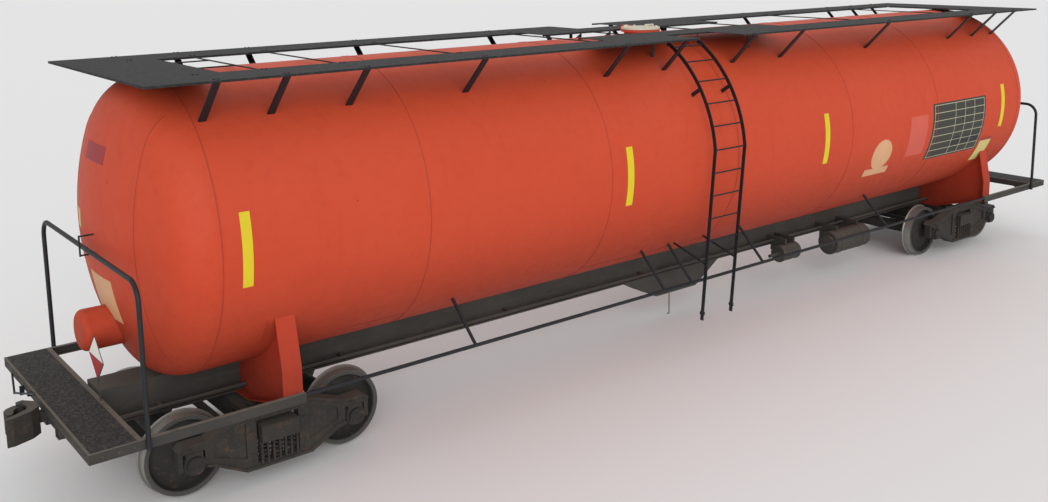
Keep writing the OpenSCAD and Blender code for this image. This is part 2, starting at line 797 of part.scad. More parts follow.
outlet_pcd = 240;
outlet_bolt_r = 11;
outlet_bolts = 8;
outlet_bore_r = 76;
outlet_bore_len = 140;
outlet_flange_r = 150;
outlet_flange_t = 26;
valve_r = 140;
valve_z = outlet_bot + 120;
valve_h = 100;
module bottom_outlet() {
  color([0.62, 0.24, 0.16]) difference() {
    translate([outlet_x, 0, outlet_bot]) {
      cylinder(r = outlet_neck_r, h = outlet_top - outlet_bot);
      cylinder(r = outlet_flange_r, h = outlet_flange_t);
      // Valve body with its two side bosses
      translate([0, 0, valve_z - outlet_bot]) cylinder(r = valve_r, h = valve_h);
      translate([0, -outlet_flange_r, valve_z - outlet_bot + valve_h / 2]) rotate([-90, 0, 0])
        cylinder(r = 34, h = 2 * outlet_flange_r);
    }
    tank_round(shell_len);
    translate([outlet_x, 0, outlet_bot - e]) cylinder(r = outlet_bore_r, h = outlet_bore_len + e);
    for (i = [0 : outlet_bolts - 1])
      translate([outlet_x, 0, outlet_bot - e]) rotate([0, 0, (i + 0.5) * 360 / outlet_bolts])
        translate([outlet_pcd / 2, 0, 0]) cylinder(r = outlet_bolt_r, h = outlet_flange_t + 2 * e);
  }
}

// Guard skid around the outlet: two sloped side plates joined by a sole and two end plates
skid_y = 240;
skid_t = 16;
skid_a = outlet_x - 1050;
skid_b = outlet_x + 870;
sole_a = outlet_x - 450;
sole_b = outlet_x + 370;
skid_z = outlet_bot - 70;
sole_t = 14;
module outlet_skid() {
  color([0.20, 0.18, 0.16]) difference() {
    union() {
      both_sides() along(skid_y, skid_t)
        polygon([[skid_a, sill_bot], [sole_a, skid_z], [sole_b, skid_z], [skid_b, sill_bot]]);
      along(-skid_y, 2 * skid_y) polygon([[skid_a, sill_bot], [sole_a, skid_z], [sole_b, skid_z],
        [skid_b, sill_bot], [skid_b - 34, sill_bot], [sole_b, skid_z + sole_t], [sole_a, skid_z + sole_t],
        [skid_a + 34, sill_bot]]);
    }
    translate([outlet_x, 0, skid_z - e]) cylinder(r = outlet_flange_r + 40, h = sole_t + 60);
  }
}

// Brake reservoir and cylinder hung from the centre sill
reservoir_r = 190;
reservoir_x = 3280;
reservoir_len = 1000;
reservoir_y = -560;
reservoir_z = sill_bot - 120;
dome = 50;
cylinder_r = 130;
cylinder_x = 2100;
cylinder_len = 420;
cylinder_y = -520;
cylinder_z = sill_bot - 80;
push_r = 26;
push_len = 200;
hanger_t = 30;
hanger_top = pipe_z + 60;
module brake_gear() {
  color([0.14, 0.13, 0.13]) difference() {
    union() {
      translate([reservoir_x + dome, reservoir_y, reservoir_z]) rotate([0, 90, 0])
        cylinder(r = reservoir_r, h = reservoir_len - 2 * dome);
      translate([reservoir_x, reservoir_y, reservoir_z]) rotate([0, 90, 0])
        cylinder(r = reservoir_r - 60, h = reservoir_len);
      for (x = [reservoir_x + 200, reservoir_x + reservoir_len - 240])
        box([x, reservoir_y - 40, reservoir_z], [x + hanger_t, -sill_out, hanger_top]);
      translate([cylinder_x, cylinder_y, cylinder_z]) rotate([0, 90, 0])
        cylinder(r = cylinder_r, h = cylinder_len);
      translate([cylinder_x - push_len, cylinder_y, cylinder_z]) rotate([0, 90, 0])
        cylinder(r = push_r, h = push_len + e);
      for (x = [cylinder_x + 130, cylinder_x + cylinder_len - 90])
        box([x, cylinder_y - 40, cylinder_z], [x + hanger_t, -sill_out, hanger_top]);
    }
    // Room for the sill's lower flange and the train pipe
    box([cylinder_x - push_len, -sill_flange_y - 2, 0],
        [reservoir_x + reservoir_len, 0, sill_bot + sill_flange_t]);
    translate([cylinder_x, -pipe_y, pipe_z]) rotate([0, 90, 0])
      cylinder(r = train_pipe_r + 3, h = reservoir_x + reservoir_len - cylinder_x);
  }
}

// ---------- trucks ----------

// Heights in the truck follow the axle
frame_mid_y = journal_centres / 2;
frame_half_t = 55;
flange_over = 28;
bolster_half_w = 190;
bolster_low_z = axle_z - 14;
seat_z = axle_z - 204;
spring_top = axle_z + 26;
window_half = 232;
end_half_w = 205;
cage_half = 130;
cage_y = 50;
bowl_r = centre_plate_r + 40;
bowl_clear = 6;
bowl_h = 25;

module truck_bolster() {
  y_in = frame_mid_y - 383;
  y_end = frame_mid_y - 153;
  difference() {
    union() {
      box([-bolster_half_w, -y_in, bolster_low_z], [bolster_half_w, y_in, bolster_top]);
      both_sides() {
        box([-bolster_half_w, y_in - e, bolster_low_z + 10], [bolster_half_w, y_end + e, bolster_top]);
        box([-end_half_w, y_end, spring_top], [end_half_w, frame_mid_y + 127, bolster_top - 10]);
        // Side bearing cage
        box([-cage_half, side_bearing_y - cage_y, bolster_top],
            [cage_half, side_bearing_y + cage_y, sill_bot - 2]);
      }
      // Centre bowl rim
      translate([0, 0, bolster_top - e]) difference() {
        cylinder(r = bowl_r, h = bowl_h + e);
        translate([0, 0, -e]) cylinder(r = centre_plate_r + bowl_clear, h = bowl_h + 3 * e);
      }
    }
    translate([0, 0, bolster_low_z - e])
      cylinder(r = pin_r + run_clear, h = bolster_top - bolster_low_z + 2 * e);
    // Core openings in the side walls
    both_sides() box([-end_half_w, 330, bolster_low_z + 60], [end_half_w, 510, bolster_low_z + 160]);
  }
}

// Cast side frame with bolster window, two sunk triangular panels and pedestal jaws.
// Its outline is given for one half, along X from the middle and up from the axle's centre.
jaw_half = 112;
jaw_roof = 116;
jaw_leg = 162;
jaw_low = -54;
foot_z_low = -254;
crown_z = 356;
arm_z = 211;
lower_chord = [[0, foot_z_low], [360, foot_z_low], [690, -84], [half_base - jaw_half, -59]];
upper_chord = [[half_base + jaw_leg, 156], [half_base + 110, arm_z], [760, arm_z], [600, 268],
               [340, crown_z], [0, crown_z]];
jaw = [[half_base - jaw_half, jaw_roof], [half_base + jaw_half, jaw_roof], [half_base + jaw_half, jaw_low],
       [half_base + jaw_leg, jaw_low]];
panel_deep = 22;
triangle = [[345, -124], [345, 256], [600, 184], [690, 141], [690, -4]];
chord_t = 23;

module half_outlines(x) {
  for (m = [0, 1]) mirror([m, 0, 0]) translate([x, 0, axle_z]) children();
}
module side_frame() {
  y0 = frame_mid_y - frame_half_t;
  w = 2 * frame_half_t;
  difference() {
    half_outlines(0) difference() {
      along(y0, w) polygon(concat(lower_chord, jaw, upper_chord, [[-e, crown_z], [-e, foot_z_low]]));
      along(y0 - e, panel_deep + e) polygon(triangle);
      along(y0 + w - panel_deep, panel_deep + e) polygon(triangle);
    }
    box([-window_half, y0 - e, seat_z], [window_half, y0 + w + e, bolster_top + 45]);
  }
  // Chord flanges wider than the web
  difference() {
    half_outlines(0) {
      along(y0 - flange_over, w + 2 * flange_over)
        polygon(concat(upper_chord, [[0, crown_z - chord_t], [334, crown_z - chord_t], [594, 245],
                       [755, arm_z - chord_t], [half_base + 100, arm_z - chord_t],
                       [half_base + 140, 146]]));
      along(y0 - flange_over, w + 2 * flange_over)
        polygon(concat(lower_chord, [[half_base - jaw_half, -39], [684, -60], [352, foot_z_low + chord_t],
                       [0, foot_z_low + chord_t]]));
    }
    // Room for the springs and the wide bolster end
    box([-window_half, 0, seat_z], [window_half, frame_y, bolster_top + 45]);
  }
  // Boss above each bearing
  half_outlines(half_base) translate([0, y0 + w - e, arm_z - 27]) rotate([-90, 0, 0])
    cylinder(r = 30, h = 22);
}
module side_frames() {
  both_sides() side_frame();
}

spring_r = 66;
spring_pitch = 140;
module springs() {
  both_sides() for (i = [-1 : 1])
    translate([i * spring_pitch, frame_mid_y, seat_z]) cylinder(r = spring_r, h = spring_top - seat_z);
}

journal_r = 82;
bearing_r = 108;
bearing_half = 75;
saddle_half = 85;
module bearings() {
  both_sides() for (s = [-1, 1]) translate([s * half_base, 0, axle_z]) difference() {
    union() {
      translate([0, frame_mid_y - bearing_half, 0]) rotate([-90, 0, 0])
        cylinder(r = bearing_r, h = 2 * bearing_half);
      box([-saddle_half, frame_mid_y - bearing_half, 0],
          [saddle_half, frame_mid_y + bearing_half, jaw_roof]);
    }
    rotate([-90, 0, 0]) cylinder(r = journal_r + run_clear, h = frame_y);
  }
}

// Brake beams with shoes just off the treads
beam_x = 250;
beam_w = 70;
shoe_gap = 8;
tread_y = back_to_back / 2 + 90;
module brake_beam() {
  difference() {
    union() {
      box([beam_x, -frame_mid_y + frame_half_t, axle_z - 54],
          [beam_x + beam_w, frame_mid_y - frame_half_t, axle_z + 6]);
      both_sides() {
        box([beam_x + 60, tread_y - 35, axle_z - 84], [beam_x + 210, tread_y + 35, axle_z + 36]);
        box([beam_x + 160, tread_y - 40, axle_z - 144], [half_base - 369, tread_y + 40, axle_z + 146]);
      }
    }
    translate([half_base, 0, axle_z]) rotate([90, 0, 0])
      cylinder(r = wheel_r + shoe_gap, h = frame_w, center = true);
  }
}
module brake_beams() {
  both_ends() brake_beam();
}

// Wheel and axle profile, turned about the axle
wheel_back = back_to_back / 2;
rim_w = 145;
rim_t = 55;
hub_r = 135;
hub_w = 180;
seat_r = 98;
seat_len = 170;
body_r = 82;
guard_r = 94;
cap_r = 88;
cap_w = 40;
rim_in = wheel_r - rim_t;
module half_wheelset() {
  bearing_out = frame_mid_y + bearing_half;
  bearing_in = frame_mid_y - bearing_half;
  rotate([90, 0, 0]) rotate_extrude($fn = 160) {
    square([body_r, wheel_back]);
    square([seat_r, wheel_back + seat_len]);
    square([journal_r, bearing_out + 4]);
    translate([0, wheel_back + seat_len - e]) square([guard_r, bearing_in - 3 - wheel_back - seat_len + e]);
    translate([0, bearing_out + 3]) square([cap_r, cap_w]);
    // Hub, dished plate and rim with flange at the back
    translate([0, wheel_back - 20]) square([hub_r, hub_w]);
    polygon([[hub_r - e, wheel_back + 105], [rim_in + e, wheel_back + 30], [rim_in + e, wheel_back + 56],
             [hub_r - e, wheel_back + 140]]);
    polygon([[rim_in, wheel_back], [wheel_r + flange_h - 8, wheel_back],
             [wheel_r + flange_h, wheel_back + 10], [wheel_r + flange_h, wheel_back + 17],
             [wheel_r + flange_h - 10, wheel_back + 29], [wheel_r, wheel_back + 42],
             [wheel_r - 4, wheel_back + rim_w], [rim_in + 8, wheel_back + rim_w],
             [rim_in, wheel_back + rim_w - 10]]);
  }
}
module wheelset_at(x) {
  color([0.30, 0.27, 0.25]) translate([x, 0, axle_z]) both_sides() half_wheelset();
}
module wheelset_a1() { wheelset_at(-truck_x - half_base); }
module wheelset_a2() { wheelset_at(-truck_x + half_base); }
module wheelset_b1() { wheelset_at(truck_x - half_base); }
module wheelset_b2() { wheelset_at(truck_x + half_base); }

module truck_bolster_a() { color([0.22, 0.20, 0.19]) translate([-truck_x, 0, 0]) truck_bolster(); }
module truck_bolster_b() { color([0.22, 0.20, 0.19]) translate([truck_x, 0, 0]) truck_bolster(); }
module side_frames_a() { color([0.24, 0.22, 0.20]) translate([-truck_x, 0, 0]) side_frames(); }
module side_frames_b() { color([0.24, 0.22, 0.20]) translate([truck_x, 0, 0]) side_frames(); }
module springs_a() { color([0.26, 0.23, 0.21]) translate([-truck_x, 0, 0]) springs(); }
module springs_b() { color([0.26, 0.23, 0.21]) translate([truck_x, 0, 0]) springs(); }
module bearings_a() { color([0.20, 0.18, 0.17]) translate([-truck_x, 0, 0]) bearings(); }
module bearings_b() { color([0.20, 0.18, 0.17]) translate([truck_x, 0, 0]) bearings(); }
module brake_beams_a() { color([0.22, 0.20, 0.18]) translate([-truck_x, 0, 0]) brake_beams(); }
module brake_beams_b() { color([0.22, 0.20, 0.18]) translate([truck_x, 0, 0]) brake_beams(); }

// Which node to draw

tank_shell();
tank_heads();
end_vessel();
manway_neck();
manway_lid();
centre_sill();
body_bolsters();
platform_frames();
decks();
handrails();
placard_posts();
head_grab_iron();
coupler_a();
coupler_b();
knuckle_a();
knuckle_b();
uncoupling_levers();
side_walkways();
walkway_ends();
walkway_rods();
walkway_brackets();
ladder_near();
ladder_far();
ladder_braces();
side_rails();
train_pipe();
bottom_outlet();
outlet_skid();
brake_gear();
truck_bolster_a();
truck_bolster_b();
side_frames_a();
side_frames_b();
springs_a();
springs_b();
bearings_a();
bearings_b();
brake_beams_a();
brake_beams_b();
wheelset_a1();
wheelset_a2();
wheelset_b1();
wheelset_b2();
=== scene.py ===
"""Dresses the railway tank car: painted and rusted finishes, weld seams, blank signs, bolts, springs, studio."""

import json
import logging
import math
from dataclasses import dataclass
from enum import Enum
from typing import Any, Callable, Sequence

import bmesh
import bpy
from mathutils import Matrix, Vector

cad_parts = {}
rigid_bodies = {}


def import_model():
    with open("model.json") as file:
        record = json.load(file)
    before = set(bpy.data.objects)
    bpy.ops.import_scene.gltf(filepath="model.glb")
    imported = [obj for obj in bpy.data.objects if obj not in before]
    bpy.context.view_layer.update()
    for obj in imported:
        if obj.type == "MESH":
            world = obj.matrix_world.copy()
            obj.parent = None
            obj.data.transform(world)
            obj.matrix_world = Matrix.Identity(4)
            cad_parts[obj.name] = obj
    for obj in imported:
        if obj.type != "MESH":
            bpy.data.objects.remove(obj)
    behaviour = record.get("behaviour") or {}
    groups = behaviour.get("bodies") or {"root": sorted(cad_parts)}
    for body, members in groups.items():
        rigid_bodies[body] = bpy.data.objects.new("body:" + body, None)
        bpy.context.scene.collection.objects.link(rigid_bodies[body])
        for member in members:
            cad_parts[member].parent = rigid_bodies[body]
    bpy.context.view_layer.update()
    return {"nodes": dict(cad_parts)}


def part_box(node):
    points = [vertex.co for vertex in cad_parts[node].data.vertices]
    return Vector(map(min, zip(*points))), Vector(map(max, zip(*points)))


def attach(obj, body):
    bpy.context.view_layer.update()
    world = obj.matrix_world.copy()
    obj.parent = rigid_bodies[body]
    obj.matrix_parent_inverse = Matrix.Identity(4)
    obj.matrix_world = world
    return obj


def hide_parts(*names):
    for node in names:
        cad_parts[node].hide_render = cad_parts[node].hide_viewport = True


LOG = logging.getLogger("tank_car")
Place = Callable[[float, float, float], Vector]
Colour = tuple[float, float, float, float]
Sheet = tuple[str, "Finish", float, float, float, float]

TRUCK_X = 6.58  # middle of the car to the middle of a truck
FILM_BACK = -0.004  # how far a film's back lies under the surface


def tint(red: int, green: int, blue: int) -> Colour:
    """Linear colour with full alpha.

    Args:
        red: display value from 0 to 255.
        green: the same for green.
        blue: the same for blue.

    Returns:
        Red, green, blue and alpha.
    """
    parts = [c / 255 for c in (red, green, blue)]
    linear = [c / 12.92 if c <= 0.04045 else ((c + 0.055) / 1.055) ** 2.4 for c in parts]
    return (linear[0], linear[1], linear[2], 1.0)


def input_of(node: bpy.types.Node, key: str) -> bpy.types.NodeSocket:
    """The input of a node with that identifier, or else with that name.

    Args:
        node: the node.
        key: identifier or name of the input.

    Returns:
        The input socket.
    """
    for socket in node.inputs:
        if socket.identifier == key:
            return socket
    return next(s for s in node.inputs if s.name == key and s.enabled)


# ---------------------------------------------------------------- shader helpers


class Sock:
    """A shader output with Python arithmetic: each operator adds one Math node."""

    def __init__(self, shader: "Shader", socket: bpy.types.NodeSocket) -> None:
        """Wraps one output socket of the given shader."""
        self.shader = shader
        self.socket = socket

    def __add__(self, other: "Sock | float") -> "Sock":
        """self + other."""
        return self.shader.math("ADD", self, other)

    def __radd__(self, other: float) -> "Sock":
        """other + self."""
        return self.shader.math("ADD", other, self)

    def __sub__(self, other: "Sock | float") -> "Sock":
        """self - other."""
        return self.shader.math("SUBTRACT", self, other)

    def __rsub__(self, other: float) -> "Sock":
        """other - self."""
        return self.shader.math("SUBTRACT", other, self)

    def __mul__(self, other: "Sock | float") -> "Sock":
        """self * other."""
        return self.shader.math("MULTIPLY", self, other)

    def __rmul__(self, other: float) -> "Sock":
        """other * self."""
        return self.shader.math("MULTIPLY", other, self)

    def __truediv__(self, other: "Sock | float") -> "Sock":
        """self / other."""
        return self.shader.math("DIVIDE", self, other)

    def __pow__(self, other: "Sock | float") -> "Sock":
        """self raised to other."""
        return self.shader.math("POWER", self, other)

    def above(self, edge: float, soft: float) -> "Sock":
        """Mask that rises smoothly from 0 to 1 around an edge.

        Args:
            edge: value at the middle of the rise.
            soft: width of the rise.

        Returns:
            The mask's socket.
        """
        made = self.shader.node(
            "ShaderNodeMapRange",
            {"interpolation_type": "SMOOTHSTEP"},
            {"Value": self, "From Min": edge - soft / 2, "From Max": edge + soft / 2},
        )
        return Sock(self.shader, made.outputs["Result"])


class Shader:
    """One procedural material under construction."""

    def __init__(self, name: str) -> None:
        """Makes an empty node material.

        Args:
            name: the material's name.
        """
        self.material = bpy.data.materials.new(name)
        self.material.use_nodes = True
        self.tree = self.material.node_tree
        self.tree.nodes.clear()
        self.place = self.node("ShaderNodeTexCoord")

    def node(
        self, kind: str, settings: dict[str, Any] | None = None, values: dict[str, Any] | None = None
    ) -> bpy.types.Node:
        """Adds one node.

        Args:
            kind: the node's type name.
            settings: attributes set first; "stops" gives a ramp's positions and colours.
            values: socket name or identifier to a number, a colour, a vector or a Sock.

        Returns:
            The new node.
        """
        made = self.tree.nodes.new(kind)
        for key, value in (settings or {}).items():
            if key == "stops":
                ramp = made.color_ramp
                for spot, (position, colour) in enumerate(value):
                    stop = ramp.elements[spot] if spot < 2 else ramp.elements.new(position)
                    stop.position, stop.color = position, colour
            else:
                setattr(made, key, value)
        for key, value in (values or {}).items():
            if isinstance(value, Sock):
                self.tree.links.new(value.socket, input_of(made, key))
            else:
                input_of(made, key).default_value = value
        return made

    def math(self, operation: str, first: "Sock | float", second: "Sock | float") -> Sock:
        """One Math node on two values."""
        made = self.node("ShaderNodeMath", {"operation": operation}, {"Value": first, "Value_001": second})
        return Sock(self, made.outputs[0])

    def spot(self) -> Sock:
        """Object coordinates."""
        return Sock(self, self.place.outputs["Object"])

    def stretched(self, x: float, y: float, z: float) -> Sock:
        """Object coordinates multiplied by one factor for each axis.

        Args:
            x: factor along the car.
            y: factor across it.
            z: factor upwards.

        Returns:
            The vector's socket.
        """
        values = {"Vector": self.spot(), "Vector_001": (x, y, z)}
        made = self.node("ShaderNodeVectorMath", {"operation": "MULTIPLY"}, values)
        return Sock(self, made.outputs[0])

    def axis(self, letter: str) -> Sock:
        """One Object coordinate: "X", "Y" or "Z"."""
        return Sock(self, self.node("ShaderNodeSeparateXYZ", values={"Vector": self.spot()}).outputs[letter])

    def facing_up(self) -> Sock:
        """How far the surface faces upwards, from -1 to 1."""
        normal = Sock(self, self.place.outputs["Normal"])
        return Sock(self, self.node("ShaderNodeSeparateXYZ", values={"Vector": normal}).outputs["Z"])

    def noise(self, scale: float, detail: float = 3.0, rough: float = 0.55, where: Sock | None = None) -> Sock:
        """Fractal noise from 0 to 1.

        Args:
            scale: how many waves a metre.
            detail: number of octaves.
            rough: weight of the finer octaves.
            where: vector to use in place of Object coordinates.

        Returns:
            The noise's socket.
        """
        made = self.node(
            "ShaderNodeTexNoise",
            values={"Vector": where or self.spot(), "Scale": scale, "Detail": detail, "Roughness": rough},
        )
        return Sock(self, made.outputs["Fac"])

    def cells(self, scale: float, output: str = "Distance", where: Sock | None = None) -> Sock:
        """Voronoi cells: "Distance" to the nearest point, or its random "Color"."""
        made = self.node("ShaderNodeTexVoronoi", values={"Vector": where or self.spot(), "Scale": scale})
        return Sock(self, made.outputs[output])

    def blend(self, share: "Sock | float", low: "Sock | Colour", high: "Sock | Colour", kind: str = "MIX") -> Sock:
        """Mixes two colours.

        Args:
            share: 0 gives low, 1 gives high.
            low: first colour.
            high: second colour.
            kind: blend type of the Mix node.

        Returns:
            The mixed colour's socket.
        """
        made = self.node(
            "ShaderNodeMix",
            {"data_type": "RGBA", "blend_type": kind, "clamp_factor": True},
            {"Factor_Float": share, "A_Color": low, "B_Color": high},
        )
        return Sock(self, made.outputs["Result_Color"] if "Result_Color" in made.outputs else made.outputs[2])

    def bump(self, height: Sock, depth: float, strength: float = 1.0, under: Sock | None = None) -> Sock:
        """Surface normal of a height pattern.

        Args:
            height: the pattern, from 0 to 1.
            depth: real depth of the pattern in metres.
            strength: share of the effect.
            under: a normal that this one lies on.

        Returns:
            The normal's socket.
        """
        values: dict[str, Any] = {"Height": height, "Distance": depth, "Strength": strength}
        if under is not None:
            values["Normal"] = under
        return Sock(self, self.node("ShaderNodeBump", values=values).outputs["Normal"])

    def finish(self, values: dict[str, Any]) -> bpy.types.Material:
        """Adds the surface shader and closes the material.

        Args:
            values: the surface shader's sockets, by name.

        Returns:
            The finished material.
        """
        surface = self.node("ShaderNodeBsdfPrincipled", values=values)
        self.node("ShaderNodeOutputMaterial", values={"Surface": Sock(self, surface.outputs["BSDF"])})
        return self.material


# ---------------------------------------------------------------- finishes


class Slot(Enum):
    """Material slots of the part's record."""

    TANK = "tank_paint"
    PALE = "pale_paint"
    FRAME = "frame_paint"
    TREAD = "tread_plate"
    RAIL = "rail_paint"
    SIGN = "sign_paint"
    CAST = "cast_steel"
    IRON = "truck_iron"
    WHEEL = "wheel_steel"


@dataclass(frozen=True)
class Finish:
    """A finish with its name and record slot; subclasses build the nodes."""

    name: str
    slot: Slot

    def build(self) -> bpy.types.Material:
        """Makes the material; each subclass has its own."""
        raise NotImplementedError

    def material(self) -> bpy.types.Material:
        """The material, made the first time it is asked for."""
        return bpy.data.materials.get(self.name) or self.build()


@dataclass(frozen=True)
class TankPaint(Finish):
    """Semi-matt tank enamel with chalking, a painted sheen on upward faces, faint streaks, small chips and darker
    towards the bottom.
    """

    base: Colour = tint(190, 66, 38)
    chalk_and_sheen: Colour = tint(197, 78, 50)
    deep: Colour = tint(168, 52, 30)
    dirt_and_shade: Colour = tint(92, 36, 24)
    low_darkening_top: float = 1.9
    low_darkening_share: float = 0.38
    rough: float = 0.5

    def build(self) -> bpy.types.Material:
        """Layers of chalking, painted sheen on upward faces, streaks, chips and a darkening towards the bottom over the
        enamel.

        Returns:
            The material.
        """
        sh = Shader(self.name)
        cloud = sh.noise(0.55, 5.0, 0.6)
        fine = sh.noise(9.0, 6.0, 0.65)
        streak = sh.noise(1.0, 5.0, 0.6, sh.stretched(7.0, 7.0, 0.35))
        height = sh.axis("Z")
        colour = sh.blend((cloud - 0.3) * 1.2, self.base, self.chalk_and_sheen)
        # Painted sheen: faces that point upwards turn paler and lighter.
        colour = sh.blend(sh.facing_up().above(0.45, 1.1) * 0.45, colour, self.chalk_and_sheen)
        colour = sh.blend((fine - 0.45).above(0.12, 0.2) * 0.14, colour, self.deep)
        colour = sh.blend(streak.above(0.62, 0.16) * 0.16, colour, self.deep)
        chips = (1.0 - sh.cells(2.2).above(0.022, 0.014)) * sh.noise(0.8, 2.0).above(0.46, 0.1)
        colour = sh.blend(chips * 0.8, colour, self.dirt_and_shade)
        # Darker towards the bottom of the part; on the bolster finish this darkening stands for painted shade.
        low = (1.0 - height.above(self.low_darkening_top, 1.3)) * self.low_darkening_share
        colour = sh.blend(low * (0.55 + fine * 0.9), colour, self.dirt_and_shade)
        rough = self.rough + fine * 0.16 + low * 0.25
        wave = sh.bump(sh.noise(1.6, 2.0, 0.5), 0.012, 0.35)
        normal = sh.bump(sh.noise(260.0, 2.0, 0.5), 0.0003, 0.5, wave)
        return sh.finish({"Base Color": colour, "Roughness": rough, "Normal": normal, "Specular IOR Level": 0.22})


@dataclass(frozen=True)
class WornPaint(Finish):
    """Old paint on steelwork: dust on upward faces, scuffs, rust blooms and, where asked, a lighter top edge, partly
    wear and partly a painted highlight.
    """

    base: Colour = tint(52, 50, 47)
    worn: Colour = tint(78, 74, 68)
    dust: Colour = tint(112, 104, 94)
    rust: Colour = tint(96, 62, 44)
    dust_share: float = 0.5
    rust_share: float = 0.25
    rough: float = 0.62
    grain: float = 60.0
    grain_depth: float = 0.0006
    metal: float = 0.0
    worn_highlit_edge_height: float = -1.0

    def build(self) -> bpy.types.Material:
        """Layers of wear, rust and dust over the base colour.

        Returns:
            The material.
        """
        sh = Shader(self.name)
        cloud = sh.noise(1.8, 5.0, 0.6)
        fine = sh.noise(28.0, 6.0, 0.65)
        scuff = sh.noise(5.0, 5.0, 0.7, sh.stretched(0.5, 3.0, 3.0))
        colour = sh.blend((cloud - 0.32) * 1.1, self.base, self.worn)
        colour = sh.blend(scuff.above(0.6, 0.12) * 0.4, colour, self.worn)
        bloom = sh.noise(3.3, 6.0, 0.7).above(0.64, 0.1) * self.rust_share * 2.0
        colour = sh.blend(bloom * fine, colour, self.rust)
        up = sh.facing_up().above(0.7, 0.5)
        colour = sh.blend(up * (0.35 + fine * 0.9) * self.dust_share, colour, self.dust)
        if self.worn_highlit_edge_height > 0:
            # Lighter band at the top edge: partly wear and dust, partly a painted highlight.
            edge = sh.axis("Z").above(self.worn_highlit_edge_height, 0.006) * sh.noise(6.0, 4.0).above(0.36, 0.2)
            colour = sh.blend(edge * 0.55, colour, self.dust)
        rough = self.rough + fine * 0.2 + up * 0.1
        normal = sh.bump(sh.noise(self.grain, 5.0, 0.6), self.grain_depth, 0.8)
        return sh.finish(
            {"Base Color": colour, "Roughness": rough, "Normal": normal, "Metallic": self.metal,
             "Specular IOR Level": 0.35}
        )


@dataclass(frozen=True)
class TreadGrit(Finish):
    """Anti-slip tread: a coarse pebbled coat, dark with lighter grains, dusty along its middle."""

    base: Colour = tint(30, 29, 29)
    grain: Colour = tint(78, 76, 76)
    dust: Colour = tint(50, 48, 47)
    pebble: float = 55.0
    depth: float = 0.005

    def build(self) -> bpy.types.Material:
        """Pebbles from cells, grains from their random colour.

        Returns:
            The material.
        """
        sh = Shader(self.name)
        pebbles = sh.cells(self.pebble)
        chance = sh.cells(self.pebble, "Color")
        pick = Sock(sh, sh.node("ShaderNodeSeparateColor", values={"Color": chance}).outputs["Red"])
        colour = sh.blend(pick.above(0.72, 0.3) * 0.7, self.base, self.grain)
        colour = sh.blend((sh.noise(1.4, 4.0) - 0.35) * 1.1, colour, self.dust)
        patch = sh.noise(14.0, 5.0, 0.7)
        colour = sh.blend(patch.above(0.6, 0.15) * 0.45, colour, self.grain)
        height = (1.0 - pebbles) * 0.7 + patch * 0.3
        normal = sh.bump(height, self.depth, 1.0)
        return sh.finish({"Base Color": colour, "Roughness": 0.78 + patch * 0.15, "Normal": normal})


@dataclass(frozen=True)
class RoughCasting(Finish):
    """Cast iron under road grime: sandy skin, brown rust in patches, pale dust on top."""

    base: Colour = tint(58, 54, 48)
    grime: Colour = tint(38, 36, 33)
    rust: Colour = tint(88, 62, 45)
    dust: Colour = tint(104, 100, 92)
    dust_share: float = 0.55

    def build(self) -> bpy.types.Material:
        """Grime, rust and dust over a sandy bump.

        Returns:
            The material.
        """
        sh = Shader(self.name)
        cloud = sh.noise(4.0, 6.0, 0.62)
        fine = sh.noise(45.0, 6.0, 0.7)
        colour = sh.blend((cloud - 0.3) * 1.5, self.grime, self.base)
        colour = sh.blend(sh.noise(7.0, 6.0, 0.72).above(0.6, 0.12) * 0.45, colour, self.rust)
        colour = sh.blend(fine.above(0.62, 0.1) * 0.35, colour, self.dust)
        up = sh.facing_up().above(0.6, 0.6)
        colour = sh.blend(up * (0.4 + fine) * self.dust_share, colour, self.dust)
        skin = sh.bump(sh.noise(120.0, 4.0, 0.6), 0.0012, 0.8)
        normal = sh.bump(sh.noise(14.0, 4.0, 0.6), 0.004, 0.5, skin)
        return sh.finish(
            {"Base Color": colour, "Roughness": 0.68 + fine * 0.22, "Normal": normal, "Metallic": 0.15}
        )


@dataclass(frozen=True)
class RollingSteel(Finish):
    """A wheelset: bright worn treads and grimy wheel faces."""

    centre: tuple[float, float] = (0.0, 0.444)
    tread: float = 0.419
    face: Colour = tint(48, 46, 42)
    grime: Colour = tint(28, 27, 26)
    bright: Colour = tint(150, 148, 142)
    rust: Colour = tint(92, 64, 46)

    @staticmethod
    def sideways(sh: Shader) -> Sock:
        """Mask of the surfaces that face along the axle.

        Args:
            sh: the material under construction.

        Returns:
            The mask's socket.
        """
        across = sh.node("ShaderNodeSeparateXYZ", values={"Vector": Sock(sh, sh.place.outputs["Normal"])})
        lean = Sock(sh, across.outputs["Y"])
        return (lean * lean).above(0.5, 0.3)

    def build(self) -> bpy.types.Material:
        """The distance from the axle tells the tread from the face.

        Returns:
            The material.
        """
        sh = Shader(self.name)
        across, up = sh.axis("X") - self.centre[0], sh.axis("Z") - self.centre[1]
        reach = (across * across + up * up) ** 0.5
        fine = sh.noise(40.0, 6.0, 0.7)
        cloud = sh.noise(5.0, 6.0, 0.65)
        colour = sh.blend((cloud - 0.3) * 1.4, self.grime, self.face)
        colour = sh.blend(sh.noise(9.0, 5.0, 0.7).above(0.62, 0.1) * 0.5, colour, self.rust)
        ring = reach.above(self.tread - 0.012, 0.006) * (0.72 + fine * 0.4) * (1.0 - self.sideways(sh) * 0.9)
        rim = reach.above(self.tread - 0.055, 0.02) * 0.12
        colour = sh.blend(rim, colour, self.bright)
        colour = sh.blend(ring, colour, self.bright)
        rough = 0.78 - ring * 0.42 + fine * 0.1
        normal = sh.bump(sh.noise(90.0, 4.0, 0.6), 0.0010, 0.6)
        return sh.finish({"Base Color": colour, "Roughness": rough, "Metallic": ring * 0.6, "Normal": normal})


